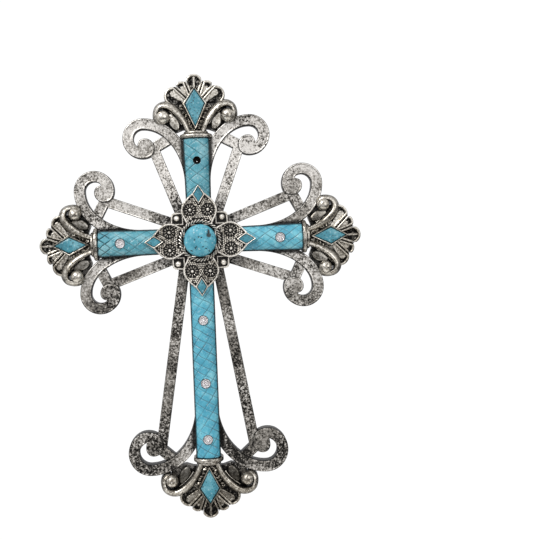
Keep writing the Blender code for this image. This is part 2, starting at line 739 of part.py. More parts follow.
def add_stones(material):
    """The five clear stones: a round girdle, sloping facets and a flat table."""
    low = BEAM_CROWN_HEIGHT - STONE_POCKET_DEPTH + STONE_CLEARANCE
    high = BEAM_CROWN_HEIGHT + STONE_PROUD
    girdle = 0.5 * (low + high)
    mesh = bmesh.new()
    rings = []
    table_radius = STONE_TABLE_SHARE * STONE_RADIUS
    for radius, height in ((STONE_RADIUS, 0.0), (STONE_RADIUS, girdle - low), (table_radius, high - low)):
        rings.append([mesh.verts.new((x, -height, z)) for x, z in circle((0.0, 0.0), radius, STONE_SIDES)])
    for ring, following in zip(rings, rings[1:]):
        for i in range(STONE_SIDES):
            mesh.faces.new((ring[i - 1], ring[i], following[i], following[i - 1]))
    mesh.faces.new(rings[0])
    mesh.faces.new(rings[-1])
    bmesh.ops.recalc_face_normals(mesh, faces=mesh.faces)
    data = bpy.data.meshes.new("clear_stone")
    mesh.to_mesh(data)
    mesh.free()
    data.materials.append(material)
    names = ("right_arm", "left_arm", "long_beam_upper", "long_beam_middle", "long_beam_lower")
    for name, (x, y) in zip(names, stone_places()):
        stone = bpy.data.objects.new(f"clear_stone_{name}", data)
        stone.location = (x, -low, y - STONE_REACH)
        bpy.context.scene.collection.objects.link(stone)


def main():
    """Builds the cross."""
    clear_scene()
    casting = Casting()
    for arm in ARMS:
        casting.turn = arm_turn(arm)
        add_beam(casting, arm)
        add_finial(casting, arm)
        left, right = ARM_BRACKETS[arm]
        add_bracket(casting, arm, BRACKETS[left])
        casting.turn = arm_turn(arm) @ Matrix.Scale(-1.0, 4, (0.0, 1.0, 0.0))
        add_bracket(casting, arm, BRACKETS[right])
    add_rosette(casting)
    cut_holes(casting)
    cross = fuse(casting, "cross_casting")
    cross.data.materials.clear()
    cross.data.materials.append(make_material("antiqued_silver"))
    add_stones(make_material("clear_stone"))


main()
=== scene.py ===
"""A scrolled wall cross, dressed: antiqued silver castings, turquoise beams and five clear stones.

The cross is drawn as one looks at it, from the centre of its round stone: x to the right, y up the
cross, and a height that rises from the wall towards the eye. An arm is drawn once, pointing along
+x, and turned to its place. Sizes are in metres.
"""

import logging
import math
from dataclasses import dataclass, field
from enum import Enum
from random import Random

import bmesh
import bpy
from mathutils import Matrix, Vector, noise


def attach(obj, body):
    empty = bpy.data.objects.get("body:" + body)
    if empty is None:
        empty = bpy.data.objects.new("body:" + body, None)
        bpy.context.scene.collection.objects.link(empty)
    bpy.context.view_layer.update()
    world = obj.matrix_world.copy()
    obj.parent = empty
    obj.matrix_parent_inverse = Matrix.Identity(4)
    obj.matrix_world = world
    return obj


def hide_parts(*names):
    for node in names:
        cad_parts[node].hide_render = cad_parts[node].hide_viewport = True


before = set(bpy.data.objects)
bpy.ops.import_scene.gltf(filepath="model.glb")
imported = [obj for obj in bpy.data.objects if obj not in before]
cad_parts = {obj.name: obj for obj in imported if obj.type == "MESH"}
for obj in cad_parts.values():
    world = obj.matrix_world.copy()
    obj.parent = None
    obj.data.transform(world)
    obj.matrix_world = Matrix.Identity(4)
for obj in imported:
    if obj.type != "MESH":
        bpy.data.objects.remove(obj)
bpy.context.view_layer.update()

LOG = logging.getLogger("wall_cross")

Point = tuple[float, float]
Outline = list[Point]

STONE_DROP = 0.0537
WELD = 0.000003
SMOOTH_UNDER_DEG = 38.0


class Slot(Enum):
    """The record's material slots."""

    SILVER = "antiqued_silver"
    TURQUOISE = "turquoise_paint"
    CLEAR = "clear_stone"


# ---- points and outlines ----


def arc(centre: Point, radii: Point, start_deg: float, end_deg: float, steps: int) -> Outline:
    """Points on an ellipse.

    Args:
        centre: Middle of the ellipse.
        radii: Its two radii.
        start_deg: Angle of the first point.
        end_deg: Angle of the last point.
        steps: Number of steps between them.

    Returns:
        The points, one more than the steps.
    """
    points = []
    for step in range(steps + 1):
        angle = math.radians(start_deg + (end_deg - start_deg) * step / steps)
        points.append((centre[0] + radii[0] * math.cos(angle), centre[1] + radii[1] * math.sin(angle)))
    return points


def smooth_curve(points: list[tuple[float, ...]], steps: int) -> list[tuple[float, ...]]:
    """A smooth curve through points of any number of coordinates.

    Args:
        points: Points that the curve passes.
        steps: Number of steps from one to the next.

    Returns:
        The curve's points.
    """
    padded = [points[0], *points, points[-1]]
    curve = []
    for before, start, end, after in zip(padded, padded[1:], padded[2:], padded[3:]):
        for step in range(steps):
            t = step / steps
            curve.append(
                tuple(
                    0.5
                    * (
                        2 * b
                        + (c - a) * t
                        + (2 * a - 5 * b + 4 * c - d) * t * t
                        + (3 * b - a - 3 * c + d) * t**3
                    )
                    for a, b, c, d in zip(before, start, end, after)
                )
            )
    curve.append(tuple(points[-1]))
    return curve


def headings(path: Outline, closed: bool = False) -> list[float]:
    """The direction of a path at each of its points, in radians.

    Args:
        path: The points.
        closed: Whether the path joins its own start.

    Returns:
        One angle for each point.
    """
    last = len(path) - 1
    angles = []
    for i in range(len(path)):
        before = path[i - 1] if i or closed else path[0]
        after = path[(i + 1) % len(path)] if i < last or closed else path[last]
        angles.append(math.atan2(after[1] - before[1], after[0] - before[0]))
    return angles


def finger_outline(path: Outline, widths: list[float], cap_steps: int) -> Outline:
    """The closed outline of a finger: up one side, round its end and down the other side.

    Args:
        path: The finger's middle line, from root to end.
        widths: Its half width at each point.
        cap_steps: Number of steps round its end.

    Returns:
        The outline, clockwise.
    """
    angles = headings(path)
    sides: list[Outline] = [[], []]
    for (x, y), angle, width in zip(path, angles, widths):
        for side, sign in zip(sides, (1.0, -1.0)):
            side.append((x - math.sin(angle) * width * sign, y + math.cos(angle) * width * sign))
    start = math.degrees(angles[-1]) + 90.0
    cap = arc(path[-1], (widths[-1], widths[-1]), start, start - 180.0, cap_steps)
    return sides[0][:-1] + cap + sides[1][-2::-1]


def drawing_to_world() -> Matrix:
    """Takes (x, y, height) on the drawing to the hanging cross."""
    return Matrix.Translation((0.0, 0.0, -STONE_DROP)) @ Matrix.Rotation(math.radians(90.0), 4, "X")


def turned(degrees: float, mirrored: bool = False) -> Matrix:
    """Turns an arm drawn along +x to its place, mirrored across its own line where asked."""
    flip = Matrix.Scale(-1.0, 4, (0.0, 1.0, 0.0)) if mirrored else Matrix.Identity(4)
    return Matrix.Rotation(math.radians(degrees), 4, "Z") @ flip


def station(place: Point, heading: float, width: float = 1.0, height: float = 1.0) -> Matrix:
    """Where a section stands along a sweep, with its width and height as shares."""
    size = Matrix.Diagonal((1.0, width, height, 1.0))
    return Matrix.Translation((place[0], place[1], 0.0)) @ Matrix.Rotation(heading, 4, "Z") @ size


# ---- forms ----


class Forms:
    """Closed forms of one piece, drawn on the drawing and gathered in one mesh."""

    def __init__(self) -> None:
        """Starts with nothing drawn, no turn and no glaze."""
        self.mesh = bmesh.new()
        self.mesh.verts.layers.float.new("wash")
        self.turn = Matrix.Identity(4)
        self.glaze = 0.0

    def take(self, form: bmesh.types.BMesh) -> None:
        """Welds a form, places it, turns its faces outwards and adds it.

        Args:
            form: The form on the drawing. It is used up.
        """
        if not form.verts.layers.float:
            wash = form.verts.layers.float.new("wash")
            for vert in form.verts:
                vert[wash] = self.glaze
        bmesh.ops.remove_doubles(form, verts=form.verts, dist=WELD)
        form.transform(drawing_to_world() @ self.turn)
        bmesh.ops.recalc_face_normals(form, faces=form.faces)
        data = bpy.data.meshes.new("form")
        form.to_mesh(data)
        form.free()
        self.mesh.from_mesh(data)
        bpy.data.meshes.remove(data)

    def sweep(
        self, section: list[tuple[float, ...]], stations: list[Matrix], closed: bool = False
    ) -> None:
        """Draws a bar along stations.

        Args:
            section: Its outline across the path and up, once round, and its glaze where there is any.
            stations: Where the section stands, one after another.
            closed: Whether the last station joins the first.
        """
        form = bmesh.new()
        wash = form.verts.layers.float.new("wash")
        corners = [form.verts.new(stations[0] @ Vector((0.0, v, h))) for v, h, *_ in section]
        for vert, (_, _, *glaze) in zip(corners, section):
            vert[wash] = glaze[0] if glaze else self.glaze
        first = form.faces.new(corners)
        front = first
        inner = []
        for before, after in zip(stations, stations[1:]):
            grown = bmesh.ops.extrude_face_region(form, geom=[front])["geom"]
            moved = [part for part in grown if isinstance(part, bmesh.types.BMVert)]
            step = after @ before.inverted()
            bmesh.ops.transform(form, matrix=step, verts=moved, space=Matrix.Identity(4))
            if front is not first:
                inner.append(front)
            front = next(part for part in grown if isinstance(part, bmesh.types.BMFace))
        if closed:
            inner.extend([first, front])
        bmesh.ops.delete(form, geom=inner, context="FACES_ONLY")
        if closed:
            loose = [edge for edge in form.edges if edge.is_boundary]
            bmesh.ops.bridge_loops(form, edges=loose)
        self.take(form)

    def plate(self, outline: Outline, low: float, rings: list[tuple[float, ...]]) -> None:
        """Draws a plate whose upper side is shaped in rings.

        Args:
            outline: Its outline.
            low: Height of its underside.
            rings: How far each ring lies inside the outline, its height, and its glaze if any.
        """
        form = bmesh.new()
        wash = form.verts.layers.float.new("wash")
        face = form.faces.new([form.verts.new((x, y, low)) for x, y in outline])
        for vert in face.verts:
            vert[wash] = rings[0][2] if len(rings[0]) > 2 else 0.0
        grown = bmesh.ops.extrude_face_region(form, geom=[face])["geom"]
        top = next(part for part in grown if isinstance(part, bmesh.types.BMFace))
        inset_before = 0.0
        for inset, height, *glaze in rings:
            if inset > inset_before:
                bmesh.ops.inset_region(form, faces=[top], thickness=inset - inset_before, depth=0.0)
            inset_before = inset
            for vert in top.verts:
                vert.co.z = height
                vert[wash] = glaze[0] if glaze else 0.0
        self.take(form)

    def lathe(self, profile: Outline, centre: Point, steps: int) -> None:
        """Draws a turned form.

        Args:
            profile: Radius and height, from its top on the axis to its foot on the axis.
            centre: Its axis on the drawing.
            steps: Number of steps round it.
        """
        form = bmesh.new()
        verts = [form.verts.new((radius, 0.0, height)) for radius, height in profile]
        edges = [form.edges.new(pair) for pair in zip(verts, verts[1:])]
        bmesh.ops.spin(
            form,
            geom=verts + edges,
            cent=(0.0, 0.0, 0.0),
            axis=(0.0, 0.0, 1.0),
            angle=math.tau,
            steps=steps,
            use_merge=True,
        )
        bmesh.ops.translate(form, verts=form.verts, vec=(*centre, 0.0))
        self.take(form)

    def ball(self, centre: Point, radius: float, height: float, foot: float, steps: int = 28) -> None:
        """Draws a ball on a stalk of its own width."""
        turns = quarter_turn(steps // 3)
        profile = [(radius * math.cos(a), height + radius * math.sin(a)) for a in turns]
        self.lathe([*profile, (radius, foot), (0.0, foot)], centre, steps)

    def bead(
        self, centre: Point, height: float, sizes: tuple[float, float, float], heading: float = 0.0
    ) -> None:
        """Adds a small egg of a few dozen faces, turned in the drawing's plane."""
        place = Matrix.Translation((*centre, height)) @ Matrix.Rotation(heading, 4, "Z")
        matrix = drawing_to_world() @ self.turn @ place @ Matrix.Diagonal((*sizes, 1.0))
        bmesh.ops.create_icosphere(self.mesh, subdivisions=1, radius=1.0, matrix=matrix)

    def finish(self, name: str) -> bpy.types.Object:
        """Makes the piece's object.

        Args:
            name: The piece's name.

        Returns:
            The object, at the origin, smooth where its faces meet gently.
        """
        data = bpy.data.meshes.new(name)
        bmesh.ops.dissolve_degenerate(self.mesh, edges=self.mesh.edges, dist=WELD / 3)
        self.mesh.to_mesh(data)
        self.mesh.free()
        data.polygons.foreach_set("use_smooth", [True] * len(data.polygons))
        data.set_sharp_from_angle(angle=math.radians(SMOOTH_UNDER_DEG))
        piece = bpy.data.objects.new(name, data)
        bpy.context.scene.collection.objects.link(piece)
        return piece


def quarter_turn(steps: int) -> list[float]:
    """Angles from straight up down to level, in radians."""
    return [math.pi / 2 * (1.0 - step / steps) for step in range(steps + 1)]


def carved(piece: bpy.types.Object, tools: list[bpy.types.Object], operation: str) -> bpy.types.Object:
    """Joins solids to a piece, or cuts them from it, and uses them up.

    Args:
        piece: The piece to change.
        tools: The solids.
        operation: UNION or DIFFERENCE.

    Returns:
        The piece.
    """
    group = bpy.data.collections.new("tools")
    for tool in tools:
        bpy.context.scene.collection.objects.unlink(tool)
        group.objects.link(tool)
    change = piece.modifiers.new("carve", "BOOLEAN")
    change.operation = operation
    change.operand_type = "COLLECTION"
    change.collection = group
    change.solver = "EXACT"
    graph = bpy.context.evaluated_depsgraph_get()
    data = bpy.data.meshes.new_from_object(piece.evaluated_get(graph))
    piece.modifiers.clear()
    old, piece.data = piece.data, data
    bpy.data.meshes.remove(old)
    data.name = piece.name
    for tool in tools:
        bpy.data.objects.remove(tool)
    bpy.data.collections.remove(group)
    tidy = bmesh.new()
    tidy.from_mesh(data)
    bmesh.ops.remove_doubles(tidy, verts=tidy.verts, dist=WELD)
    tidy.to_mesh(data)
    tidy.free()
    data.polygons.foreach_set("use_smooth", [True] * len(data.polygons))
    data.set_sharp_from_angle(angle=math.radians(SMOOTH_UNDER_DEG))
    return piece


# ---- finishes ----


def linear(colour: str) -> tuple[float, float, float, float]:
    """Turns an sRGB hex colour to linear light."""
    shares = [int(colour[i : i + 2], 16) / 255.0 for i in (1, 3, 5)]
    return (*[s / 12.92 if s <= 0.04045 else ((s + 0.055) / 1.055) ** 2.4 for s in shares], 1.0)


def add_node(
    tree: bpy.types.NodeTree, kind: str, settings: dict | None = None, links: dict | None = None
) -> bpy.types.Node:
    """Adds a node with its settings and links.

    Args:
        tree: The material's or world's node tree.
        kind: The node's type.
        settings: Values by socket name or number, or by property name. "stops" sets a colour ramp.
        links: Output sockets by the name or number of the input that they feed.

    Returns:
        The node.
    """
    node = tree.nodes.new(kind)
    for key, value in (settings or {}).items():
        if key == "stops":
            ramp = node.color_ramp.elements
            while len(ramp) < len(value):
                ramp.new(1.0)
            for element, (position, colour) in zip(ramp, value):
                element.position = position
                element.color = linear(colour)
        elif isinstance(key, int) or key in node.inputs:
            node.inputs[key].default_value = value
        else:
            setattr(node, key, value)
    for key, output in (links or {}).items():
        tree.links.new(output, node.inputs[key])
    return node


def darkest(
    tree: bpy.types.NodeTree, first: bpy.types.NodeSocket, layers: tuple[bpy.types.NodeSocket, ...]
) -> bpy.types.NodeSocket:
    """The thickest of several layers of glaze at each spot."""
    share = first
    for layer in layers:
        thicker = add_node(tree, "ShaderNodeMath", {"operation": "MAXIMUM"}, {0: share, 1: layer})
        share = thicker.outputs[0]
    return share


def blank_material(name: str) -> tuple[bpy.types.Material, bpy.types.NodeTree, bpy.types.Node]:
    """A new material with its tree and its shader."""
    material = bpy.data.materials.new(name)
    material.use_nodes = True
    return material, material.node_tree, material.node_tree.nodes["Principled BSDF"]


@dataclass(frozen=True)
class AntiquedSilver:
    """Silver leaf paint over cast resin, with a dark glaze rubbed into its hollows.

    The eye sees bright rubbed metal on what stands proud, a grey mottling of leaf and glaze on the
    flats, and near black where the glaze has pooled. The colour is painted lighter towards the top of
    the cross and darker down it, as painted light and shade. Its walls, the dark edges of its rims and
    the frame beside the beams are painted darker too, partly glaze and partly painted shade.
    """

    name: str = "silver_leaf_paint"
    bright: str = "#e4e0da"
    mid: str = "#98938b"
    dark: str = "#211f1d"
    glaze: str = "#0f0e0d"
    patch_share: float = 0.60
    spread: float = 0.14
    painted_light_at_top: float = 0.085
    painted_shade_at_foot: float = -0.062
    hollow_reach: float = 0.0030
    hollow_from: float = 0.35
    hollow_to: float = 0.85
    wall_shade_and_glaze: float = 0.88
    foot_glaze: float = 1.0
    beside_beam_shade_and_glaze: float = 0.95
    metallic: float = 0.8
    roughness_low: float = 0.26
    roughness_high: float = 0.5
    grain_rise: float = 0.00022

    def mottle_with_painted_lean(
        self, tree: bpy.types.NodeTree, spot: bpy.types.NodeSocket
    ) -> tuple[bpy.types.Node, bpy.types.Node]:
        """Adds the mottling of leaf and glaze, and painted light and shade that make it lighter towards the top of
        the cross and darker towards its foot.

        Args:
            tree: The material's node tree.
            spot: The place on the cross.

        Returns:
            The nodes of its colour and of its grains.
        """
        # Patches of leaf lie about 20 mm apart, with flakes of one to two millimetres in them
        patches, grains, stretches = (
            add_node(
                tree,
                "ShaderNodeTexNoise",
                {"Scale": 1 / width, "Detail": detail, "Roughness": roughness},
                {"Vector": spot},
            )
            for width, detail, roughness in ((0.024, 3.0, 0.6), (0.0013, 3.0, 0.75), (0.035, 1.0, 0.5))
        )
        # Some stretches are rubbed nearly even and others are left coarse
        coarse = add_node(
            tree,
            "ShaderNodeMapRange",
            {"From Min": 0.38, "From Max": 0.62, "To Min": 0.7, "To Max": 1.9},
            {"Value": stretches.outputs["Fac"]},
        )
        even = add_node(
            tree, "ShaderNodeMath", {"operation": "SUBTRACT", 1: 0.5}, {0: grains.outputs["Fac"]}
        )
        flakes = add_node(
            tree,
            "ShaderNodeMath",
            {"operation": "MULTIPLY_ADD", 2: 0.5},
            {0: even.outputs[0], 1: coarse.outputs[0]},
        )
        both = add_node(
            tree,
            "ShaderNodeMath",
            {"operation": "MULTIPLY_ADD", 1: self.patch_share},
            {0: patches.outputs["Fac"], 2: flakes.outputs[0]},
        )
        # Painted light and shade: the colour leans lighter towards the top of the cross and darker towards its foot
        place = add_node(tree, "ShaderNodeSeparateXYZ", {}, {0: spot})
        lean = add_node(
            tree,
            "ShaderNodeMapRange",
            {
                "From Min": -0.13,
                "From Max": 0.0,
                "To Min": self.painted_shade_at_foot,
                "To Max": self.painted_light_at_top,
            },
            {"Value": place.outputs["Z"]},
        )
        total = add_node(
            tree, "ShaderNodeMath", {"operation": "ADD"}, {0: both.outputs[0], 1: lean.outputs[0]}
        )
        middle = 0.5 + 0.5 * self.patch_share
        stops = [
            (middle - self.spread, self.dark),
            (middle, self.mid),
            (middle + self.spread, self.bright),
        ]
        return add_node(tree, "ShaderNodeValToRGB", {"stops": stops}, {"Fac": total.outputs[0]}), grains

    def glaze_and_painted_shade(
        self, tree: bpy.types.NodeTree, spot: bpy.types.NodeSocket, grains: bpy.types.Node
    ) -> bpy.types.NodeSocket:
        """Adds where the glaze and painted shade lie: glaze in hollows, round the rosette and where it is drawn,
        and glaze with painted shade on walls and beside the beams.

        Args:
            tree: The material's node tree.
            spot: The place on the cross.
            grains: The node of the fine flakes.

        Returns:
            The share of glaze and painted shade.
        """
        near = {"Distance": self.hollow_reach, "samples": 12}
        hollow = add_node(tree, "ShaderNodeAmbientOcclusion", near)
        pooled = add_node(
            tree,
            "ShaderNodeMath",
            {"operation": "MULTIPLY_ADD", 1: 0.35},
            {0: grains.outputs["Fac"], 2: hollow.outputs["AO"]},
        )
        half_flake = 0.17
        shade = add_node(
            tree,
            "ShaderNodeMapRange",
            {
                "From Min": self.hollow_from + half_flake,
                "From Max": self.hollow_to + half_flake,
                "To Min": 1.0,
                "To Max": 0.0,
            },
            {"Value": pooled.outputs[0]},
        )
        # Painted shade with glaze: faces that turn away from the front, the walls, are darkened
        normal = add_node(tree, "ShaderNodeNewGeometry").outputs["Normal"]
        facing = add_node(tree, "ShaderNodeSeparateXYZ", {}, {0: normal})
        upright = add_node(tree, "ShaderNodeMath", {"operation": "ABSOLUTE"}, {0: facing.outputs["Y"]})
        walls = add_node(
            tree,
            "ShaderNodeMapRange",
            {"From Min": 0.15, "From Max": 0.45, "To Min": self.wall_shade_and_glaze, "To Max": 0.0},
            {"Value": upright.outputs[0]},
        )
        middle = {"operation": "DISTANCE", 1: (0.0, -0.008, -STONE_DROP)}
        away = add_node(tree, "ShaderNodeVectorMath", middle, {0: spot})
        foot = add_node(
            tree,
            "ShaderNodeMapRange",
            {"From Min": 0.027, "From Max": 0.037, "To Min": self.foot_glaze, "To Max": 0.0},
            {"Value": away.outputs["Value"]},
        )
        # The brush skips over some flakes there
        skipped = add_node(
            tree,
            "ShaderNodeMapRange",
            {"From Min": 0.46, "From Max": 0.60, "To Min": 1.0, "To Max": 0.35},
            {"Value": grains.outputs["Fac"]},
        )
        mottled = add_node(
            tree,
            "ShaderNodeMath",
            {"operation": "MULTIPLY"},
            {0: foot.outputs[0], 1: skipped.outputs[0]},
        )
        # Painted shade with glaze: the frame is darkened in a band beside the beams' sides, where they stand above
        # it
        centred = add_node(
            tree, "ShaderNodeVectorMath", {"operation": "ADD", 1: (0.0, 0.0, STONE_DROP)}, {0: spot}
        )
        folded = add_node(
            tree, "ShaderNodeVectorMath", {"operation": "ABSOLUTE"}, {0: centred.outputs[0]}
        )
        beside = add_node(tree, "ShaderNodeSeparateXYZ", {}, {0: folded.outputs[0]})
        nearer = add_node(
            tree,
            "ShaderNodeMath",
            {"operation": "MINIMUM"},
            {0: beside.outputs["X"], 1: beside.outputs["Z"]},
        )
        seam = add_node(
            tree,
            "ShaderNodeMapRange",
            {"From Min": 0.0100, "From Max": 0.0122, "To Min": self.beside_beam_shade_and_glaze, "To Max": 0.0},
            {"Value": nearer.outputs[0]},
        )
        drawn = add_node(tree, "ShaderNodeAttribute", {"attribute_name": "wash"})
        layers = (walls.outputs[0], mottled.outputs[0], seam.outputs[0], drawn.outputs["Fac"])
        share = darkest(tree, shade.outputs[0], layers)
        # The back, which faces the wall, has leaf paint alone
        front = add_node(
            tree,
            "ShaderNodeMapRange",
            {"From Min": 0.4, "From Max": 0.7, "To Min": 1.0, "To Max": 0.0},
            {"Value": facing.outputs["Y"]},
        )
        kept = add_node(
            tree, "ShaderNodeMath", {"operation": "MULTIPLY"}, {0: share, 1: front.outputs[0]}
        )
        return add_node(tree, "ShaderNodeClamp", {}, {0: kept.outputs[0]}).outputs[0]

    def make(self) -> bpy.types.Material:
        """Builds the material. The attribute "wash" says where glaze is drawn."""
        material, tree, shader = blank_material(self.name)
        spot = add_node(tree, "ShaderNodeTexCoord").outputs["Object"]
        mottle_with_painted_lean, grains = self.mottle_with_painted_lean(tree, spot)
        colour = add_node(
            tree,
            "ShaderNodeMix",
            {"data_type": "RGBA", 7: linear(self.glaze)},
            {0: self.glaze_and_painted_shade(tree, spot, grains), 6: mottle_with_painted_lean.outputs["Color"]},
        )
        tree.links.new(colour.outputs[2], shader.inputs["Base Color"])
        rough = add_node(
            tree,
            "ShaderNodeMapRange",
            {
                "From Min": 0.35,
                "From Max": 0.65,
                "To Min": self.roughness_low,
                "To Max": self.roughness_high,
            },
            {"Value": grains.outputs["Fac"]},
        )
        tree.links.new(rough.outputs[0], shader.inputs["Roughness"])
        shader.inputs["Metallic"].default_value = self.metallic
        # Brushed-on leaf paint leaves flakes that stand a few hundredths of a millimetre proud
        bump = add_node(
            tree,
            "ShaderNodeBump",
            {"Strength": 0.5, "Distance": self.grain_rise},
            {"Height": grains.outputs["Fac"]},
        )
        tree.links.new(bump.outputs[0], shader.inputs["Normal"])
        return material


@dataclass(frozen=True)
class TurquoiseEnamel:
    """Glossy turquoise enamel paint, brushed on, with dark glaze in the cut lines.

    The eye sees an even blue-green with lighter rubbed edges, a wet gloss and dark lines.
    """

    name: str = "turquoise_enamel_paint"
    deep: str = "#3d8ea5"
    body: str = "#4f9fb3"
    light: str = "#74b9c6"
    scuff: str = "#a9c4c8"
    glaze: str = "#1c2a2e"
    fleck_from: float = 0.70
    abrasion: float = 0.35
    roughness: float = 0.42
    coat: float = 0.2

    def make(self) -> bpy.types.Material:
        """Builds the material. The attribute "wash" says where the glaze lies."""
        material, tree, shader = blank_material(self.name)
        spot = add_node(tree, "ShaderNodeTexCoord").outputs["Object"]
        patches = add_node(
            tree,
            "ShaderNodeTexNoise",
            {"Scale": 1 / 0.009, "Detail": 4.0, "Roughness": 0.6},
            {"Vector": spot},
        )
        body = add_node(
            tree,
            "ShaderNodeValToRGB",
            {"stops": [(0.36, self.deep), (0.5, self.body), (0.66, self.light)]},
            {"Fac": patches.outputs["Fac"]},
        )
        wash = add_node(tree, "ShaderNodeAttribute", {"attribute_name": "wash"})
        hollow = add_node(tree, "ShaderNodeAmbientOcclusion", {"Distance": 0.003, "samples": 12})
        pooled = add_node(
            tree,
            "ShaderNodeMapRange",
            {"From Min": 0.35, "From Max": 0.75, "To Min": 0.85, "To Max": 0.0},
            {"Value": hollow.outputs["AO"]},
        )
        # Pinholes and scuffs of about a millimetre
        pins = add_node(
            tree,
            "ShaderNodeTexNoise",
            {"Scale": 1 / 0.0016, "Detail": 2.0, "Roughness": 0.5},
            {"Vector": spot},
        )
        pitted = add_node(
            tree,
            "ShaderNodeMapRange",
            {
                "From Min": self.fleck_from,
                "From Max": self.fleck_from + 0.05,
                "To Min": 0.0,
                "To Max": 0.8,
            },
            {"Value": pins.outputs["Fac"]},
        )
        scuffs = add_node(
            tree,
            "ShaderNodeMapRange",
            {"From Min": 0.40, "From Max": 0.28, "To Min": 0.0, "To Max": self.abrasion},
            {"Value": pins.outputs["Fac"]},
        )
        scuffed = add_node(
            tree,
            "ShaderNodeMix",
            {"data_type": "RGBA", 7: linear(self.scuff)},
            {0: scuffs.outputs[0], 6: body.outputs["Color"]},
        )
        dark = darkest(tree, wash.outputs["Fac"], (pooled.outputs[0], pitted.outputs[0]))
        colour = add_node(
            tree,
            "ShaderNodeMix",
            {"data_type": "RGBA", 7: linear(self.glaze)},
            {0: dark, 6: scuffed.outputs[2]},
        )
        tree.links.new(colour.outputs[2], shader.inputs["Base Color"])
        shader.inputs["Roughness"].default_value = self.roughness
        shader.inputs["Coat Weight"].default_value = self.coat
        shader.inputs["Coat Roughness"].default_value = 0.25
        ripples = add_node(
            tree, "ShaderNodeTexNoise", {"Scale": 1 / 0.0035, "Detail": 2.0}, {"Vector": spot}
        )
        bump = add_node(
            tree,
            "ShaderNodeBump",
            {"Strength": 0.35, "Distance": 0.0004},
            {"Height": ripples.outputs["Fac"]},
        )
        tree.links.new(bump.outputs[0], shader.inputs["Normal"])
        return material


@dataclass(frozen=True)
class PlainFinish:
    """A finish of even values: clear glass, mirror foil, painted shade in the nail hole or pale floor."""

    name: str
    colour: str
    metallic: float = 0.0
    roughness: float = 0.5
    transmission: float = 0.0
    ior: float = 1.5
    shade: str = ""

    def make(self) -> bpy.types.Material:
        """Builds the material with its values on the shader's own sockets."""
        material, tree, shader = blank_material(self.name)
        shader.inputs["Base Color"].default_value = linear(self.colour)
        shader.inputs["Metallic"].default_value = self.metallic
        shader.inputs["Roughness"].default_value = self.roughness
        shader.inputs["Transmission Weight"].default_value = self.transmission
        shader.inputs["IOR"].default_value = self.ior
        # The shade colour, mixed in by the wash attribute, paints shade; on the foil it paints the facets' dark
        # reflections
        if self.shade:
            wash = add_node(tree, "ShaderNodeAttribute", {"attribute_name": "wash"})
            ends = {"data_type": "RGBA", 6: linear(self.colour), 7: linear(self.shade)}
            mixed = add_node(tree, "ShaderNodeMix", ends, {0: wash.outputs["Fac"]})
            tree.links.new(mixed.outputs[2], shader.inputs["Base Color"])
        return material


@dataclass
class Finishes:
    """Every finish of the cross, made once."""

    leaf: bpy.types.Material = field(
        default_factory=lambda: AntiquedSilver("silver_leaf_paint_on_flats").make()
    )
    cast: bpy.types.Material = field(
        default_factory=lambda: AntiquedSilver(
            "silver_leaf_paint_on_castings",
            bright="#f2ede3",
            mid="#bdb7ab",
            dark="#7d766b",
            spread=0.15,
            painted_light_at_top=0.06,
            painted_shade_at_foot=-0.08,
            hollow_reach=0.0020,
            hollow_from=0.30,
            hollow_to=0.80,
            wall_shade_and_glaze=0.45,
            foot_glaze=0.0,
            beside_beam_shade_and_glaze=0.0,
            metallic=0.9,
            roughness_low=0.2,
            roughness_high=0.38,
            grain_rise=0.00008,
        ).make()
    )
    turquoise: bpy.types.Material = field(default_factory=lambda: TurquoiseEnamel().make())
    round_stone: bpy.types.Material = field(
        default_factory=lambda: TurquoiseEnamel(
            "dull_pitted_turquoise_enamel",
            deep="#3a8496",
            body="#4e9caf",
            light="#79b5bf",
            fleck_from=0.64,
            abrasion=0.8,
            roughness=0.55,
            coat=0.0,
        ).make()
    )
    crystal: bpy.types.Material = field(
        default_factory=lambda: PlainFinish("clear_cut_crystal", "#ffffff", 0.0, 0.02, 1.0, 1.52).make()
    )
    # The foil's shade colour paints the dark reflections of the stones' facets
    foil: bpy.types.Material = field(
        default_factory=lambda: PlainFinish(
            "silvered_foil", "#fffafb", 0.1, 0.5, shade="#5c585f"
        ).make()
    )
    rosette: bpy.types.Material = field(
        default_factory=lambda: AntiquedSilver(
            "silver_leaf_paint_on_rosette",
            bright="#fffaf2",
            mid="#e6e1d7",
            dark="#a8a297",
            glaze="#1c1a18",
            spread=0.14,
            painted_light_at_top=0.0,
            painted_shade_at_foot=0.0,
            hollow_reach=0.0008,
            hollow_from=0.20,
            hollow_to=0.50,
            wall_shade_and_glaze=0.2,
            foot_glaze=0.0,
            beside_beam_shade_and_glaze=0.0,
            metallic=0.65,
            roughness_low=0.25,
            roughness_high=0.42,
            grain_rise=0.00008,
        ).make()
    )
    worn_turquoise: bpy.types.Material = field(
        default_factory=lambda: TurquoiseEnamel(
            "rubbed_turquoise_enamel_paint",
            deep="#37808f",
            body="#4b919f",
            light="#78aab3",
            abrasion=0.6,
            fleck_from=0.68,
        ).make()
    )
    lozenge_turquoise: bpy.types.Material = field(
        default_factory=lambda: TurquoiseEnamel(
            "lozenge_turquoise_enamel_paint",
            deep="#286a79",
            body="#397f8f",
            light="#5f98a4",
            abrasion=0.5,
            fleck_from=0.60,
        ).make()
    )
    # Painted shade: the nail hole's dark lining stands for the shade inside the hole
    hole: bpy.types.Material = field(
        default_factory=lambda: PlainFinish("painted_shade_dark_lining", "#0d0c0b", 0.0, 0.6).make()
    )


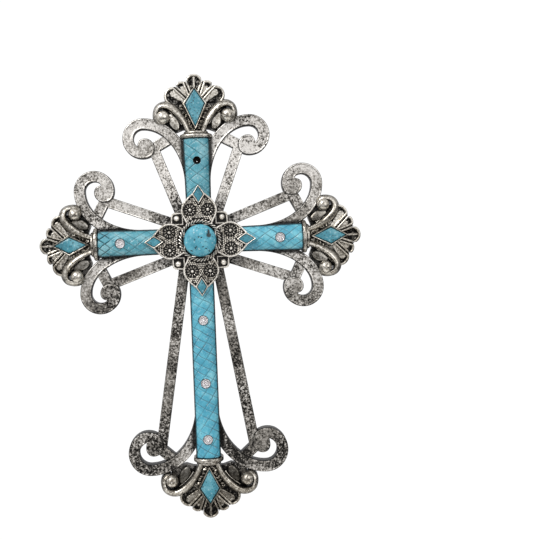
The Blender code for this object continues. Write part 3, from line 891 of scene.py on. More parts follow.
def dress(
    piece: bpy.types.Object, material: bpy.types.Material, replaces: tuple[str, ...]
) -> bpy.types.Object:
    """Gives a piece its finish and says what it rides on and stands for.

    Args:
        piece: The piece.
        material: Its finish.
        replaces: The CAD nodes that it stands for.

    Returns:
        The piece.
    """
    piece.data.materials.clear()
    piece.data.materials.append(material)
    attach(piece, "root")
    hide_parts(*replaces)
    LOG.info("%s: %d faces", piece.name, len(piece.data.polygons))
    return piece


# ---- the cross ----


@dataclass(frozen=True)
class Arm:
    """One arm, as it points away from the middle."""

    name: str
    turn_deg: float
    beam_end: float = 0.0690
    beam_end_half_width: float = 0.0093
    strut_height: float = 0.0064
    shell_reach: float = 0.0370
    lozenge_half_width: float = 0.0079
    hook_spread: float = 1.00
    ball_radius: float = 0.0053
    brackets: tuple[str, str] = ("short", "short")
    stones: tuple[float, ...] = ()


SIDE_ARM = {
    "strut_height": 0.0062,
    "shell_reach": 0.0330,
    "lozenge_half_width": 0.0067,
    "hook_spread": 0.96,
    "ball_radius": 0.0049,
    "stones": (0.0537,),
}
ARMS = (
    Arm("top", 90.0),
    Arm("right", 0.0, brackets=("short", "low"), **SIDE_ARM),
    Arm("left", 180.0, brackets=("low", "short"), **SIDE_ARM),
    Arm(
        "bottom",
        -90.0,
        beam_end=0.1462,
        beam_end_half_width=0.0084,
        shell_reach=0.0343,
        lozenge_half_width=0.0077,
        hook_spread=1.16,
        ball_radius=0.0050,
        brackets=("long", "long"),
        stones=(0.0537, 0.0960, 0.1337),
    ),
)


@dataclass(frozen=True)
class Bracket:
    """One side of an arm's open frame. Its ring is given from the beam's end."""

    ring_past_beam: float
    ring_across: float
    ring_radius: float
    eye_offset: Point
    eye_radius: float
    web_foot: Point
    strut_from: Point
    strut_to: Point


BRACKETS = {
    "short": Bracket(
        ring_past_beam=0.0012,
        ring_across=0.0360,
        ring_radius=0.0100,
        eye_offset=(-0.0064, -0.0012),
        eye_radius=0.0065,
        web_foot=(0.0, -0.0193),
        strut_from=(0.0120, 0.0099),
        strut_to=(0.0635, 0.0291),
    ),
    "low": Bracket(
        ring_past_beam=-0.0004,
        ring_across=0.0336,
        ring_radius=0.0099,
        eye_offset=(-0.0063, -0.0004),
        eye_radius=0.0064,
        web_foot=(0.0004, -0.0178),
        strut_from=(0.0120, 0.0098),
        strut_to=(0.0630, 0.0279),
    ),
    "long": Bracket(
        ring_past_beam=-0.0037,
        ring_across=0.0388,
        ring_radius=0.0114,
        eye_offset=(-0.0047, -0.0020),
        eye_radius=0.0068,
        web_foot=(0.0060, -0.0163),
        strut_from=(0.0120, 0.0103),
        strut_to=(0.1405, 0.0317),
    ),
}


@dataclass
class ScrollFrame:
    """The flat open frame behind the beams: bands, volutes, struts, webs and finial plates."""

    band_width: float = 0.0075
    band_height: float = 0.0075
    sweep_radius: float = 0.0422
    landing_inset: float = 0.0006
    tightens_at_deg: float = 150.0
    meets_eye_at_deg: float = 260.0
    eye_drawn_in_at_deg: float = 100.0
    eye_drawn_in_share: float = 0.26
    eye_step_deg: float = 6.0
    eye_leaves_after_deg: float = 380.0
    curl_steps: int = 24
    strut_width: float = 0.0073
    plate_height: float = 0.0045
    root_height: float = 0.0064
    backing_inner_half: float = 0.0080
    backing_inset: float = 0.00015
    backing_past_beam: float = 0.0040
    backing_height: float = 0.0015
    bore_radius: float = 0.0009

    # Distance inside a bar's edge, depth under its height and glaze: dark edge, rubbed rim, sunk field. The dark
    # edge is painted shade on the rounded edge, with glaze.
    RIM = (
        (0.0, 0.0008, 1.0),
        (0.00012, 0.00035, 1.0),
        (0.00030, 0.00012, 0.85),
        (0.00050, 0.00002, 0.0),
        (0.00080, 0.0, 0.0),
        (0.00105, 0.00004, 0.0),
        (0.00125, 0.00020, 0.45),
        (0.00150, 0.00022, 0.1),
    )

    def eye_point(self, centre: Point, radius: float, degrees: float) -> Point:
        """A point on a volute's eye: a disc, drawn in on the side where the curl's slot runs in."""
        facing = max(0.0, math.cos(math.radians(degrees - self.eye_drawn_in_at_deg)))
        reach = radius * (1.0 - self.eye_drawn_in_share * facing * facing)
        angle = math.radians(degrees)
        return centre[0] + reach * math.cos(angle), centre[1] + reach * math.sin(angle)

    def band_outline(self, arm: Arm, bracket: Bracket) -> Outline:
        """A band's outline: it sweeps off the beam's side and curls round on to the volute's eye."""
        half, radius = self.band_width / 2, bracket.ring_radius
        ring = (arm.beam_end + bracket.ring_past_beam, bracket.ring_across)
        eye = (ring[0] + bracket.eye_offset[0], ring[1] + bracket.eye_offset[1])
        landing = arm.beam_end_half_width - self.landing_inset - half
        centre = (ring[0] + radius - self.sweep_radius, ring[1])
        sweep = arc(centre, (self.sweep_radius, ring[1] - landing), -90.0, 0.0, 28)
        places = list(zip(sweep, headings(sweep)))
        outer, inner = (
            [(x + math.sin(a) * far, y - math.cos(a) * far) for (x, y), a in places]
            for far in (half, -half)
        )
        outline = outer[:-1] + arc(ring, (radius + half,) * 2, 0.0, self.tightens_at_deg, 26)
        for step in range(1, self.curl_steps + 1):
            share = step / self.curl_steps
            eased = share * share * (3.0 - 2.0 * share)
            degrees = self.tightens_at_deg + (self.meets_eye_at_deg - self.tightens_at_deg) * share
            middle = [place + eased * offset for place, offset in zip(ring, bracket.eye_offset)]
            reach = radius + half + (bracket.eye_radius - radius - half) * eased
            angle = math.radians(degrees)
            outline.append((middle[0] + reach * math.cos(angle), middle[1] + reach * math.sin(angle)))
        degrees = self.meets_eye_at_deg + self.eye_step_deg
        while degrees < self.eye_leaves_after_deg or math.dist(outline[-1], ring) < radius - half:
            outline.append(self.eye_point(eye, bracket.eye_radius, degrees))
            degrees += self.eye_step_deg
        meets = math.degrees(math.atan2(outline[-1][1] - ring[1], outline[-1][0] - ring[0]))
        outline[-1:] = arc(ring, (radius - half,) * 2, meets, 0.0, 24)
        return outline + inner[-2::-1]

    def strut_outline(self, arm: Arm, bracket: Bracket) -> Outline:
        """A strut's outline, with the web that it turns into at a mitre."""
        ring = (arm.beam_end + bracket.ring_past_beam, bracket.ring_across)
        foot = (ring[0] + bracket.web_foot[0], ring[1] + bracket.web_foot[1])
        line = [bracket.strut_from, bracket.strut_to, foot]
        angles = headings(line)
        angles[1] = (angles[0] + angles[2]) / 2
        sides: list[Outline] = [[], []]
        for (x, y), angle, lean in zip(line, angles, (0.0, (angles[2] - angles[0]) / 2, 0.0)):
            far = self.strut_width / 2 / math.cos(lean)
            for side, sign in zip(sides, (1.0, -1.0)):
                side.append((x - math.sin(angle) * far * sign, y + math.cos(angle) * far * sign))
        return sides[0] + sides[1][::-1]

    def rimmed(self, outline: Outline, height: float, turn: Matrix) -> bpy.types.Object:
        """A flat bar on the wall side with a thin rubbed rim inside its dark edge."""
        forms = Forms()
        forms.turn = turn
        forms.plate(outline, 0.0, [(inset, height - depth, glaze) for inset, depth, glaze in self.RIM])
        return forms.finish("bar")

    def bracket_tools(self, arm: Arm, side: int) -> list[bpy.types.Object]:
        """The solids of one side of an arm's frame."""
        bracket = BRACKETS[arm.brackets[side]]
        turn = turned(arm.turn_deg, mirrored=side == 1)
        return [
            self.rimmed(self.band_outline(arm, bracket), self.band_height, turn),
            self.rimmed(self.strut_outline(arm, bracket), arm.strut_height, turn),
        ]

    def finial_tools(self, arm: Arm) -> list[bpy.types.Object]:
        """The flat plates that carry an arm's finial and its beam."""
        base, spread = arm.beam_end, arm.hook_spread
        root = [(base + along, across) for along, across in ROOT_OUTLINE]
        outlines = [(root + [(x, -y) for x, y in reversed(root)], self.root_height)]
        for side in (1.0, -1.0):
            plate = [(base + along, across * side * spread) for along, across in PLATE_OUTLINE]
            outlines.append((plate, self.plate_height))
        outer, reach = arm.beam_end_half_width - self.backing_inset, base + self.backing_past_beam
        bore = arc((STONE_DROP, 0.0), (self.bore_radius,) * 2, 0.0, 180.0, 16)
        half = [(0.0, 0.0), (0.0, self.backing_inner_half), (reach, outer), (reach, 0.0)]
        half += bore if arm.name == "top" else []
        outlines.append((half, self.backing_height))
        outlines.append(([(x, -y) for x, y in half], self.backing_height))
        tools = []
        for outline, height in outlines:
            forms = Forms()
            forms.turn = turned(arm.turn_deg)
            forms.plate(outline, 0.0, [(0.0, height)])
            tools.append(forms.finish("back_plate"))
        return tools

    def build(self, finishes: Finishes) -> None:
        """Joins the frame's solids into one piece."""
        tools = []
        for arm in ARMS:
            tools += self.bracket_tools(arm, 0) + self.bracket_tools(arm, 1) + self.finial_tools(arm)
        piece = tools.pop(0)
        piece.name = "scroll_frame"
        carved(piece, tools, "UNION")
        self.shade_and_glaze_edges(piece)
        dress(piece, finishes.leaf, ("cross_casting",))

    def shade_and_glaze_edges(self, piece: bpy.types.Object) -> None:
        """Writes the rims' glaze and painted edge shade on the joined piece, where each height tells its ring."""
        tops = {self.band_height, *(arm.strut_height for arm in ARMS)}
        table = {round((top - depth) * 1e5): glaze for top in tops for _, depth, glaze in self.RIM}
        wash = piece.data.attributes["wash"].data
        for vert in piece.data.vertices:
            wash[vert.index].value = table.get(round(-vert.co.y * 1e5), 0.0)


ROOT_OUTLINE = ((0.0030, 0.0052), (0.0120, 0.0056), (0.0210, 0.0080))
PLATE_OUTLINE = (
    (0.0068, 0.0030),
    (0.0062, 0.0088),
    (0.0046, 0.0130),
    (0.0070, 0.0222),
    (0.0205, 0.0215),
    (0.0220, 0.0130),
    (0.0190, 0.0050),
)


@dataclass
class Beam:
    """One arm's turquoise beam, with its cut lines and stone pockets, or the nail hole."""

    arm: Arm
    start: float = 0.0090
    inner_half_width: float = 0.0083
    side_height: float = 0.0060
    crown_height: float = 0.0120
    underside: float = 0.0008
    spacing: float = 0.00032
    line_half_width: float = 0.00050
    line_depth: float = 0.00042
    pocket_radius: float = 0.0031
    pocket_depth: float = 0.0014
    nail_reach: float = 0.0537
    nail_head_radius: float = 0.0027
    nail_head_depth: float = 0.0070
    nail_shank_radius: float = 0.0009
    edge_shade_and_glaze: float = 0.155
    lip_radius: float = 0.0036
    lip_rise: float = 0.00025
    under_shell: float = 0.0026
    heavy_cuts_from: float = 0.0605

    def half_width(self, along: float) -> float:
        """Half the beam's width at a distance from the middle of the cross."""
        share = (along - self.start) / (self.arm.beam_end - self.start)
        return self.inner_half_width + (self.arm.beam_end_half_width - self.inner_half_width) * share

    # The two families of cut lines of each beam: degrees from the beam's axis, and pitch
    LINE_FAMILIES = {
        "top": ((56.0, 0.0062), (-56.0, 0.0062)),
        "bottom": ((62.0, 0.0050), (-38.0, 0.0062)),
        "right": ((37.0, 0.0048), (-37.0, 0.0048)),
        "left": ((37.0, 0.0048), (-37.0, 0.0048)),
    }

    def cut(self, along: float, around: float) -> tuple[float, float]:
        """How deep a cut line is at a spot, and how dark.

        Args:
            along: Distance from the middle of the cross.
            around: Distance round the arch from its crown.

        Returns:
            The depth, and the glaze from 0 to 1.
        """
        depth = dark = 0.0
        for number, (degrees, pitch) in enumerate(self.LINE_FAMILIES[self.arm.name]):
            angle = math.radians(degrees)
            wobble = 0.00035 * noise.noise(Vector((along * 160, around * 160, 7.3 * number)))
            across = along * math.sin(angle) - around * math.cos(angle) + wobble
            away = abs((across / pitch + 0.5) % 1.0 - 0.5) * pitch
            share = max(0.0, 1.0 - away / self.line_half_width)
            strength = 0.75 + 0.7 * noise.noise(Vector((along * 90, around * 90, 3.1 + number)))
            if self.arm.name == "left" and along > self.heavy_cuts_from:
                strength += 1.0
            depth = max(depth, share * strength)
            dark = max(dark, max(0.0, share * 1.6 - 0.6) * strength)
        return depth * self.line_depth, min(1.0, dark)

    def build(self, finishes: Finishes) -> None:
        """Draws the beam and cuts its holes."""
        length = self.arm.beam_end + self.under_shell - self.start
        half_arch = self.arch_length() / 2
        arch_steps = round(2 * half_arch / self.spacing)
        side_steps = 4
        total = arch_steps + 2 * side_steps
        rows = round(length / self.spacing)
        grid = bmesh.new()
        bmesh.ops.create_grid(grid, x_segments=rows, y_segments=total, size=1.0)
        wash = grid.verts.layers.float.new("wash")
        profile = self.arch_profile(arch_steps)
        for vert in grid.verts:
            along = self.start + length * (vert.co.x + 1.0) / 2
            step = round((vert.co.y + 1.0) / 2 * total)
            half = self.half_width(along)
            if side_steps <= step <= total - side_steps:
                across, rise, tilt = profile[step - side_steps]
                around = (step - side_steps - arch_steps / 2) / arch_steps * 2 * half_arch
                depth, dark = self.cut(along, around)
                edge = min(step - side_steps, total - side_steps - step) / arch_steps
                # Painted shade with glaze: the arch is darkened towards both its edges, where it turns down to the
                # sides
                dark = max(dark, min(0.95, (self.edge_shade_and_glaze - edge) / 0.05))
                lift = self.lip(along, around) - depth
                vert.co = (
                    along,
                    across * half + lift * math.sin(tilt),
                    self.side_height + rise + lift * math.cos(tilt),
                )
                vert[wash] = dark
                wall = self.pocket_wall(vert.co.x, vert.co.y)
                if wall < 1.0:
                    floor = self.crown_height - self.pocket_depth
                    vert.co.z = floor + (vert.co.z - floor) * wall
                    vert[wash] = 0.6
            else:
                side = -1.0 if step < side_steps else 1.0
                share = min(step, total - step) / side_steps
                low = self.underside
                vert.co = (along, side * half, low + (self.side_height - low) * share)
                # Painted shade with glaze: the side walls are darkened, most near their top
                vert[wash] = 0.9 if share > 0.7 else 0.25
        edges = [edge for edge in grid.edges if edge.is_boundary]
        sides = [edge for edge in edges if abs(edge.verts[0].co.x - edge.verts[1].co.x) > 1e-7]
        bmesh.ops.bridge_loops(grid, edges=sides)
        bmesh.ops.holes_fill(grid, edges=[edge for edge in grid.edges if edge.is_boundary], sides=0)
        forms = Forms()
        forms.turn = turned(self.arm.turn_deg)
        forms.take(grid)
        piece = forms.finish(f"beam_{self.arm.name}")
        if self.arm.name == "top":
            carved(piece, self.hole_tools(), "DIFFERENCE")
        paint = finishes.worn_turquoise if self.arm.name in ("top", "left") else finishes.turquoise
        dress(piece, paint, ("cross_casting",))

    def arch_length(self) -> float:
        """The length of the arch's curve."""
        arch = (self.arm.beam_end_half_width, self.crown_height - self.side_height)
        points = arc((0.0, 0.0), arch, 0, 180, 60)
        return sum(math.dist(a, b) for a, b in zip(points, points[1:]))

    def arch_profile(self, steps: int) -> list[tuple[float, float, float]]:
        """The arch in even steps: share across, rise over the sides and tilt from upright."""
        half, rise = self.arm.beam_end_half_width, self.crown_height - self.side_height
        fine = arc((0.0, 0.0), (half, rise), 180.0, 0.0, 2000)
        walked = [0.0]
        for a, b in zip(fine, fine[1:]):
            walked.append(walked[-1] + math.dist(a, b))
        profile = []
        at = 0
        for step in range(steps + 1):
            goal = walked[-1] * step / steps
            while at < len(walked) - 1 and walked[at] < goal:
                at += 1
            across, height = fine[at]
            tilt = math.atan2(across / half**2, height / rise**2)
            profile.append((across / half, height, tilt))
        return profile

    def lip(self, along: float, around: float) -> float:
        """The rise of the paint round a stone's pocket."""
        for reach in self.arm.stones:
            away = abs(math.hypot(along - reach, around) - self.lip_radius)
            if away < 0.0007:
                return self.lip_rise * (1.0 - (away / 0.0007) ** 2)
        return 0.0

    def pocket_wall(self, along: float, across: float) -> float:
        """How far up a stone's pocket a spot lies: 0 on its floor, 1 on the paint round it."""
        away = min((math.hypot(along - reach, across) for reach in self.arm.stones), default=1.0)
        return min(1.0, max(0.0, (away - self.pocket_radius) / self.spacing))

    def hole_tools(self) -> list[bpy.types.Object]:
        """The solids that cut the nail hole."""
        tools = []
        for radius, low in (
            (self.nail_head_radius, self.crown_height - self.nail_head_depth),
            (self.nail_shank_radius, -0.001),
        ):
            forms = Forms()
            forms.turn = turned(self.arm.turn_deg)
            circle = arc((self.nail_reach, 0.0), (radius, radius), 0.0, 360.0, 32)[:-1]
            forms.plate(circle, low, [(0.0, self.crown_height + 0.002)])
            tools.append(forms.finish("hole"))
        return tools


@dataclass
class Collar:
    """The two rounded silver bands at a beam's end."""

    arm: Arm
    wide_length: float = 0.0026
    wide_proud: float = 0.0017
    narrow_length: float = 0.0022
    narrow_proud: float = 0.0006
    narrow_half_width: float = 0.0083
    side_height: float = 0.0060
    crown_height: float = 0.0120

    def build(self, finishes: Finishes) -> None:
        """Draws both bands as half-round hoops over the beam."""
        forms = Forms()
        forms.turn = turned(self.arm.turn_deg)
        bands = (
            (self.arm.beam_end, self.wide_length, self.arm.beam_end_half_width, self.wide_proud),
            (
                self.arm.beam_end + self.wide_length - 0.0002,
                self.narrow_length,
                self.narrow_half_width - self.narrow_proud,
                self.narrow_proud,
            ),
        )
        forms.glaze = 0.35
        for start, length, half_width, proud in bands:
            rise = self.crown_height - self.side_height
            arch = arc((0.0, self.side_height), (half_width, rise), 0.0, 180.0, 28)
            section = [(half_width, 0.0002), *arch, (-half_width, 0.0002)]
            stations = []
            for angle in range(-90, 91, 20):
                bulge = proud - 0.0008 * (1.0 - math.cos(math.radians(angle)))
                along = start + length / 2 * (1.0 + math.sin(math.radians(angle)))
                stations.append(
                    station(
                        (along, 0.0),
                        0.0,
                        (half_width + bulge) / half_width,
                        (self.crown_height + bulge) / self.crown_height,
                    )
                )
            forms.sweep(section, stations)
        forms.glaze = 1.0
        for start, half_width, proud in (
            (self.arm.beam_end - 0.0004, self.arm.beam_end_half_width, 0.0006),
            (self.arm.beam_end + self.wide_length - 0.0004, self.narrow_half_width, 0.0001),
        ):
            rise = self.crown_height - self.side_height
            arch = arc((0.0, self.side_height), (half_width, rise), 0.0, 180.0, 28)
            section = [(half_width, 0.0002), *arch, (-half_width, 0.0002)]
            wide, high = 1.0 + proud / half_width, 1.0 + proud / self.crown_height
            ends = [station((x, 0.0), 0.0, wide, high) for x in (start, start + 0.0009)]
            forms.sweep(section, ends)
        piece = forms.finish(f"collar_{self.arm.name}")
        dress(piece, finishes.cast, ("cross_casting",))


@dataclass
class Finial:
    """The end of an arm: shell lobes, two hooked scrolls with ball ends, leaves and a lozenge."""

    arm: Arm
    fan_rays: int = 230
    fan_rings: int = 52
    fan_hub: float = 0.0040
    fan_spread_deg: float = 88.0
    spread_per_reach: float = 4250.0
    lobes_end_deg: float = 84.0
    fan_foot_reach: float = 0.0183
    fan_foot_taper: float = 0.0143
    seam_half_width: float = 0.00035
    foot: float = 0.0015
    lobe_rim_height: float = 0.0104
    hollow_height: float = 0.0078
    ball_centre_height: float = 0.0095
    ball_share: float = 0.86
    crumb_count: int = 34
    seed: int = 5
    lozenge_from_beam: float = 0.0058
    lozenge_tip_before_shell: float = 0.0029
    lozenge_widest_before_shell: float = 0.0142
    lozenge_rim_height: float = 0.0122
    lozenge_extra: float = 0.0005

    # The round ends of the middle lobe and of the two beside it: across, along from the fan's
    # middle, radius
    LOBES = ((0.0, 0.0154, 0.0060), (0.0085, 0.0120, 0.0048), (0.0141, 0.0068, 0.0064))
    # Where each lobe's sector ends, in degrees from the arm's axis
    SECTORS = (20.35, 45.1, 180.0)
    # Each lobe's light tongue: its direction in degrees, half its width, and its reach past the
    # end's middle
    TONGUES = ((0.0, 0.0008, 0.0050), (33.0, 0.0016, 0.0014), (59.0, 0.0026, 0.0034))
    # A lobe from its edge inwards: distance, share of the rim's height over the hollow, and glaze
    LOBE_SECTION = (
        (0.0, 0.55, 0.65),
        (0.00015, 0.74, 0.42),
        (0.00035, 0.90, 0.10),
        (0.00065, 0.99, 0.0),
        (0.0010, 1.00, 0.0),
        (0.00135, 0.95, 0.0),
        (0.0016, 0.78, 0.30),
        (0.00185, 0.40, 0.85),
        (0.00215, 0.10, 1.0),
        (0.0026, 0.0, 1.0),
    )
    # Along and across from the beam's end, the half width and the height's share
    HOOK = (
        (0.0040, 0.0042, 0.0023, 0.90),
        (0.0112, 0.0072, 0.0025, 0.98),
        (0.0172, 0.0113, 0.0028, 1.00),
        (0.0218, 0.0166, 0.0028, 1.00),
        (0.0229, 0.0212, 0.0026, 0.98),
        (0.0212, 0.0250, 0.0022, 0.94),
        (0.0176, 0.0266, 0.0020, 0.88),
        (0.0139, 0.0266, 0.0018, 0.82),
        (0.0112, 0.0247, 0.0014, 0.76),
        (0.0106, 0.0226, 0.0008, 0.70),
    )
    # The hook's section, with its glaze: its crest stands towards the hollow that it curls round. The glaze grows
    # down its rounded sides away from the bright crest: painted shade, with glaze at its foot.
    HOOK_SECTION = (
        (-1.0, 0.0015, 1.0),
        (-1.0, 0.0074, 0.95),
        (-0.95, 0.0087, 0.85),
        (-0.80, 0.0099, 0.7),
        (-0.50, 0.0110, 0.55),
        (-0.15, 0.0118, 0.36),
        (0.15, 0.01235, 0.08),
        (0.42, 0.0125, 0.0),
        (0.66, 0.0123, 0.0),
        (0.84, 0.0116, 0.3),
        (0.95, 0.0104, 0.8),
        (1.0, 0.0085, 1.0),
        (1.0, 0.0015, 1.0),
    )
    BALL_PLACE = (0.0146, 0.0217)
    PAD = (
        (0.0060, 0.0118, 0.0014),
        (0.0085, 0.0130, 0.0030),
        (0.0115, 0.0143, 0.0036),
        (0.0150, 0.0160, 0.0024),
    )
    SEAM = ((0.0190, 0.0176), (0.0160, 0.0143), (0.0130, 0.0114), (0.0095, 0.0092))

    def lobe_section(self, away: float) -> tuple[float, float]:
        """The height's share and the glaze of a lobe at a distance from its edge."""
        rows = zip(self.LOBE_SECTION, self.LOBE_SECTION[1:])
        for (start, low, glaze), (end, high, glaze_next) in rows:
            if away < end:
                share = max(0.0, (away - start) / (end - start))
                return low + (high - low) * share, glaze + (glaze_next - glaze) * share
        return self.LOBE_SECTION[-1][1:]

    def edge_reach(self, angle: float) -> float:
        """How far the shell reaches in a direction, in radians from the arm's axis."""
        across, along = math.sin(abs(angle)), math.cos(angle)
        lobes_end = math.radians(self.lobes_end_deg)
        reach = self.fan_foot_reach - self.fan_foot_taper * (abs(angle) - lobes_end)
        for v, u, radius in self.LOBES:
            forward = v * across + u * along
            inside = radius**2 - v**2 - u**2 + forward**2
            if inside > 0.0 and abs(angle) < lobes_end:
                so_far = reach if reach < self.fan_foot_reach else 0.0
                reach = max(so_far, forward + math.sqrt(inside))
        return reach

    def lobe_surface(self, across: float, along: float) -> tuple[float, float]:
        """Shapes the shell at a spot.

        Args:
            across: The spot's distance from the arm's axis.
            along: Its distance from the fan's middle, along the axis.

        Returns:
            The height's share, from 0 in the hollows to 1 on the rims, and the glaze.
        """
        angle, reach = math.degrees(math.atan2(abs(across), along)), math.hypot(across, along)
        lobe = next(i for i, end in enumerate(self.SECTORS) if angle < end)
        v, u, radius = self.LOBES[lobe]
        past = (abs(across) * v + along * u) / math.hypot(v, u) - math.hypot(v, u)
        to_edge = radius - math.dist((abs(across), along), (v, u)) if past > 0.0 else 1.0
        to_side = reach * math.sin(math.radians(min(90.0, self.SECTORS[lobe] - angle)))
        if lobe:
            off_seam = math.radians(min(90.0, angle - self.SECTORS[lobe - 1]))
            to_seam = reach * math.sin(off_seam) - self.seam_half_width
            if to_seam < 0.0:
                return 0.5, 1.0
            to_side = min(to_side, to_seam)
        share, glaze = self.lobe_section(min(to_edge, to_side))
        streaks = noise.noise(Vector((across * 700.0, along * 700.0, 2.7 * self.arm.turn_deg)))
        heading, width, reach_past = self.TONGUES[lobe]
        beside = reach * abs(math.sin(math.radians(angle - heading)))
        beyond = max(0.0, past - reach_past + width)
        fill = 1.0 - (math.hypot(beside, beyond) / width) ** 2
        height = 0.55 * min(1.0, 1.5 * math.sqrt(max(0.0, fill)))
        if height > share:
            return height, min(1.0, max(0.0, 0.75 - fill + (1.3 * streaks if lobe else -0.3)))
        return share, glaze - (0.8 * max(0.0, streaks) if glaze > 0.9 else 0.0)

    def shell(self, forms: Forms) -> None:
        """Draws the fan of five lobes on one grid of rays and rings, then its walls and its back."""
        middle = self.arm.beam_end + self.arm.shell_reach - self.LOBES[0][1]
        past_side_arm = self.arm.shell_reach - SIDE_ARM["shell_reach"]
        widest = math.radians(self.fan_spread_deg + self.spread_per_reach * past_side_arm)
        fan = bmesh.new()
        bmesh.ops.create_grid(fan, x_segments=self.fan_rays, y_segments=self.fan_rings, size=1.0)
        wash = fan.verts.layers.float.new("wash")
        for vert in fan.verts:
            angle = widest * vert.co.x
            to_edge = self.edge_reach(angle) - self.fan_hub
            reach = self.fan_hub + to_edge * (vert.co.y + 1.0) / 2
            across, along = reach * math.sin(angle), reach * math.cos(angle)
            share, glaze = self.lobe_surface(across, along)
            lift = (self.lobe_rim_height - self.hollow_height) * share
            vert.co = (middle + along, across, self.hollow_height + lift)
            vert[wash] = glaze
        border = [edge for edge in fan.edges if edge.is_boundary]
        grown = bmesh.ops.extrude_edge_only(fan, edges=border)["geom"]
        for vert in (part for part in grown if isinstance(part, bmesh.types.BMVert)):
            vert.co.z = self.foot
        bmesh.ops.holes_fill(fan, edges=[edge for edge in fan.edges if edge.is_boundary], sides=0)
        forms.take(fan)

    def hook(self, forms: Forms, side: float) -> None:
        """Draws one hooked scroll and its ball."""
        spread = self.arm.hook_spread
        end = self.arm.beam_end
        line = smooth_curve([(end + u, v * side * spread, w, h) for u, v, w, h in self.HOOK], 6)
        flat = [(u, v) for u, v, _, _ in line]
        stations = [
            station(place, heading, width, height)
            for place, heading, (_, _, width, height) in zip(flat, headings(flat), line)
        ]
        forms.sweep([(v * side, h, glaze) for v, h, glaze in self.HOOK_SECTION], stations)
        forms.glaze = 0.12
        ball = (self.arm.beam_end + self.BALL_PLACE[0], self.BALL_PLACE[1] * side * spread)
        forms.ball(ball, self.ball_share * self.arm.ball_radius, self.ball_centre_height, self.foot)
        forms.glaze = 0.0

    def pad(self, forms: Forms, side: float) -> None:
        """Draws the small leaf between a hook and its ball, and the thin seam beside it."""
        spread = side * self.arm.hook_spread
        line = smooth_curve([(self.arm.beam_end + u, v * spread, w) for u, v, w in self.PAD], 5)
        flat = [(u, v) for u, v, _ in line]
        outline = finger_outline(flat, [w for _, _, w in line], 8)
        # The pad's inner field is darker on the lower arms than on the top one
        pad_darkness_by_arm = {"top": 0.15, "bottom": 0.75}.get(self.arm.name, 0.5)
        forms.plate(
            outline,
            self.foot,
            [
                (0.0, 0.0068, 0.9),
                (0.0003, 0.0077, 0.7),
                (0.0007, 0.0082, pad_darkness_by_arm),
                (0.0013, 0.0084, pad_darkness_by_arm),
            ],
        )
        seam = smooth_curve([(self.arm.beam_end + u, v * spread) for u, v in self.SEAM], 5)
        crest = arc((0.0, 0.0074), (0.0005, 0.0006), 0.0, 180.0, 4)
        ridge = [(0.0005, self.foot), *crest, (-0.0005, self.foot)]
        forms.sweep(ridge, [station(place, heading) for place, heading in zip(seam, headings(seam))])

    def crumbs(self, forms: Forms) -> None:
        """Draws the lumpy root between the hooks' stems, under the lozenge's lower half."""
        base = self.arm.beam_end
        leaf = ((0.0042, 0.0040), (0.0130, 0.0072), (0.0200, 0.0098), (0.0215, 0.0086))
        outline = [(base + along, across) for along, across in leaf]
        outline += [(x, -y) for x, y in reversed(outline)]
        forms.plate(outline, self.foot + 0.0005, [(0.0, 0.0084, 0.7), (0.0004, 0.0088, 0.6)])
        corners = self.lozenge_corners()
        draw = Random(self.seed)
        for side in (1.0, -1.0):
            for _ in range(self.crumb_count):
                share, away = draw.uniform(-0.08, 0.98), draw.uniform(0.0004, 0.0020)
                inner, widest = corners[0], corners[1]
                slope = math.atan2(widest[1], widest[0] - inner[0])
                u = inner[0] + (widest[0] - inner[0]) * share - math.sin(slope) * away
                v = widest[1] * share + math.cos(slope) * away
                size = draw.uniform(0.0007, 0.0013)
                forms.bead(
                    (u, max(0.0002, v) * side),
                    draw.uniform(0.0088, 0.0100),
                    (size * draw.uniform(0.9, 1.6), size * 0.75, size),
                    draw.uniform(0.0, math.pi),
                )

    def lozenge_corners(self) -> Outline:
        """The lozenge's corners: inner, left, outer and right."""
        shell = self.arm.beam_end + self.arm.shell_reach
        inner, outer = self.arm.beam_end + self.lozenge_from_beam, shell - self.lozenge_tip_before_shell
        extra = self.lozenge_extra
        widest, half = shell - self.lozenge_widest_before_shell, self.arm.lozenge_half_width + extra
        return [(inner - extra, 0.0), (widest, half), (outer + extra, 0.0), (widest, -half)]

    def build(self, finishes: Finishes) -> None:
        """Draws the finial and its turquoise lozenge."""
        forms = Forms()
        forms.turn = turned(self.arm.turn_deg)
        self.shell(forms)
        self.crumbs(forms)
        for side in (1.0, -1.0):
            self.hook(forms, side)
            self.pad(forms, side)
        corners = self.lozenge_corners()
        rim = self.lozenge_rim_height
        forms.plate(
            corners,
            self.foot + 0.0010,
            [
                (0.0, rim - 0.0016, 0.6),
                (0.00015, rim - 0.0009, 0.3),
                (0.0004, rim - 0.0003),
                (0.0008, rim),
                (0.0012, rim - 0.0001),
                (0.00145, rim - 0.0004),
                (0.0016, rim - 0.0010, 0.8),
                (0.0017, rim - 0.0020, 1.0),
            ],
        )
        piece = forms.finish(f"finial_{self.arm.name}")
        dress(piece, finishes.cast, ("cross_casting",))
        inlay = Forms()
        inlay.turn = turned(self.arm.turn_deg)
        inlay.plate(
            corners,
            rim - 0.0035,
            [
                (0.0016, rim - 0.0016, 1.0),
                (0.0019, rim - 0.0012, 0.9),
                (0.0022, rim - 0.0009),
                (0.0033, rim - 0.0006),
            ],
        )
        piece = inlay.finish(f"finial_lozenge_{self.arm.name}")
        piece.data.polygons.foreach_set("use_smooth", [False] * len(piece.data.polygons))
        dress(piece, finishes.lozenge_turquoise, ("cross_casting",))


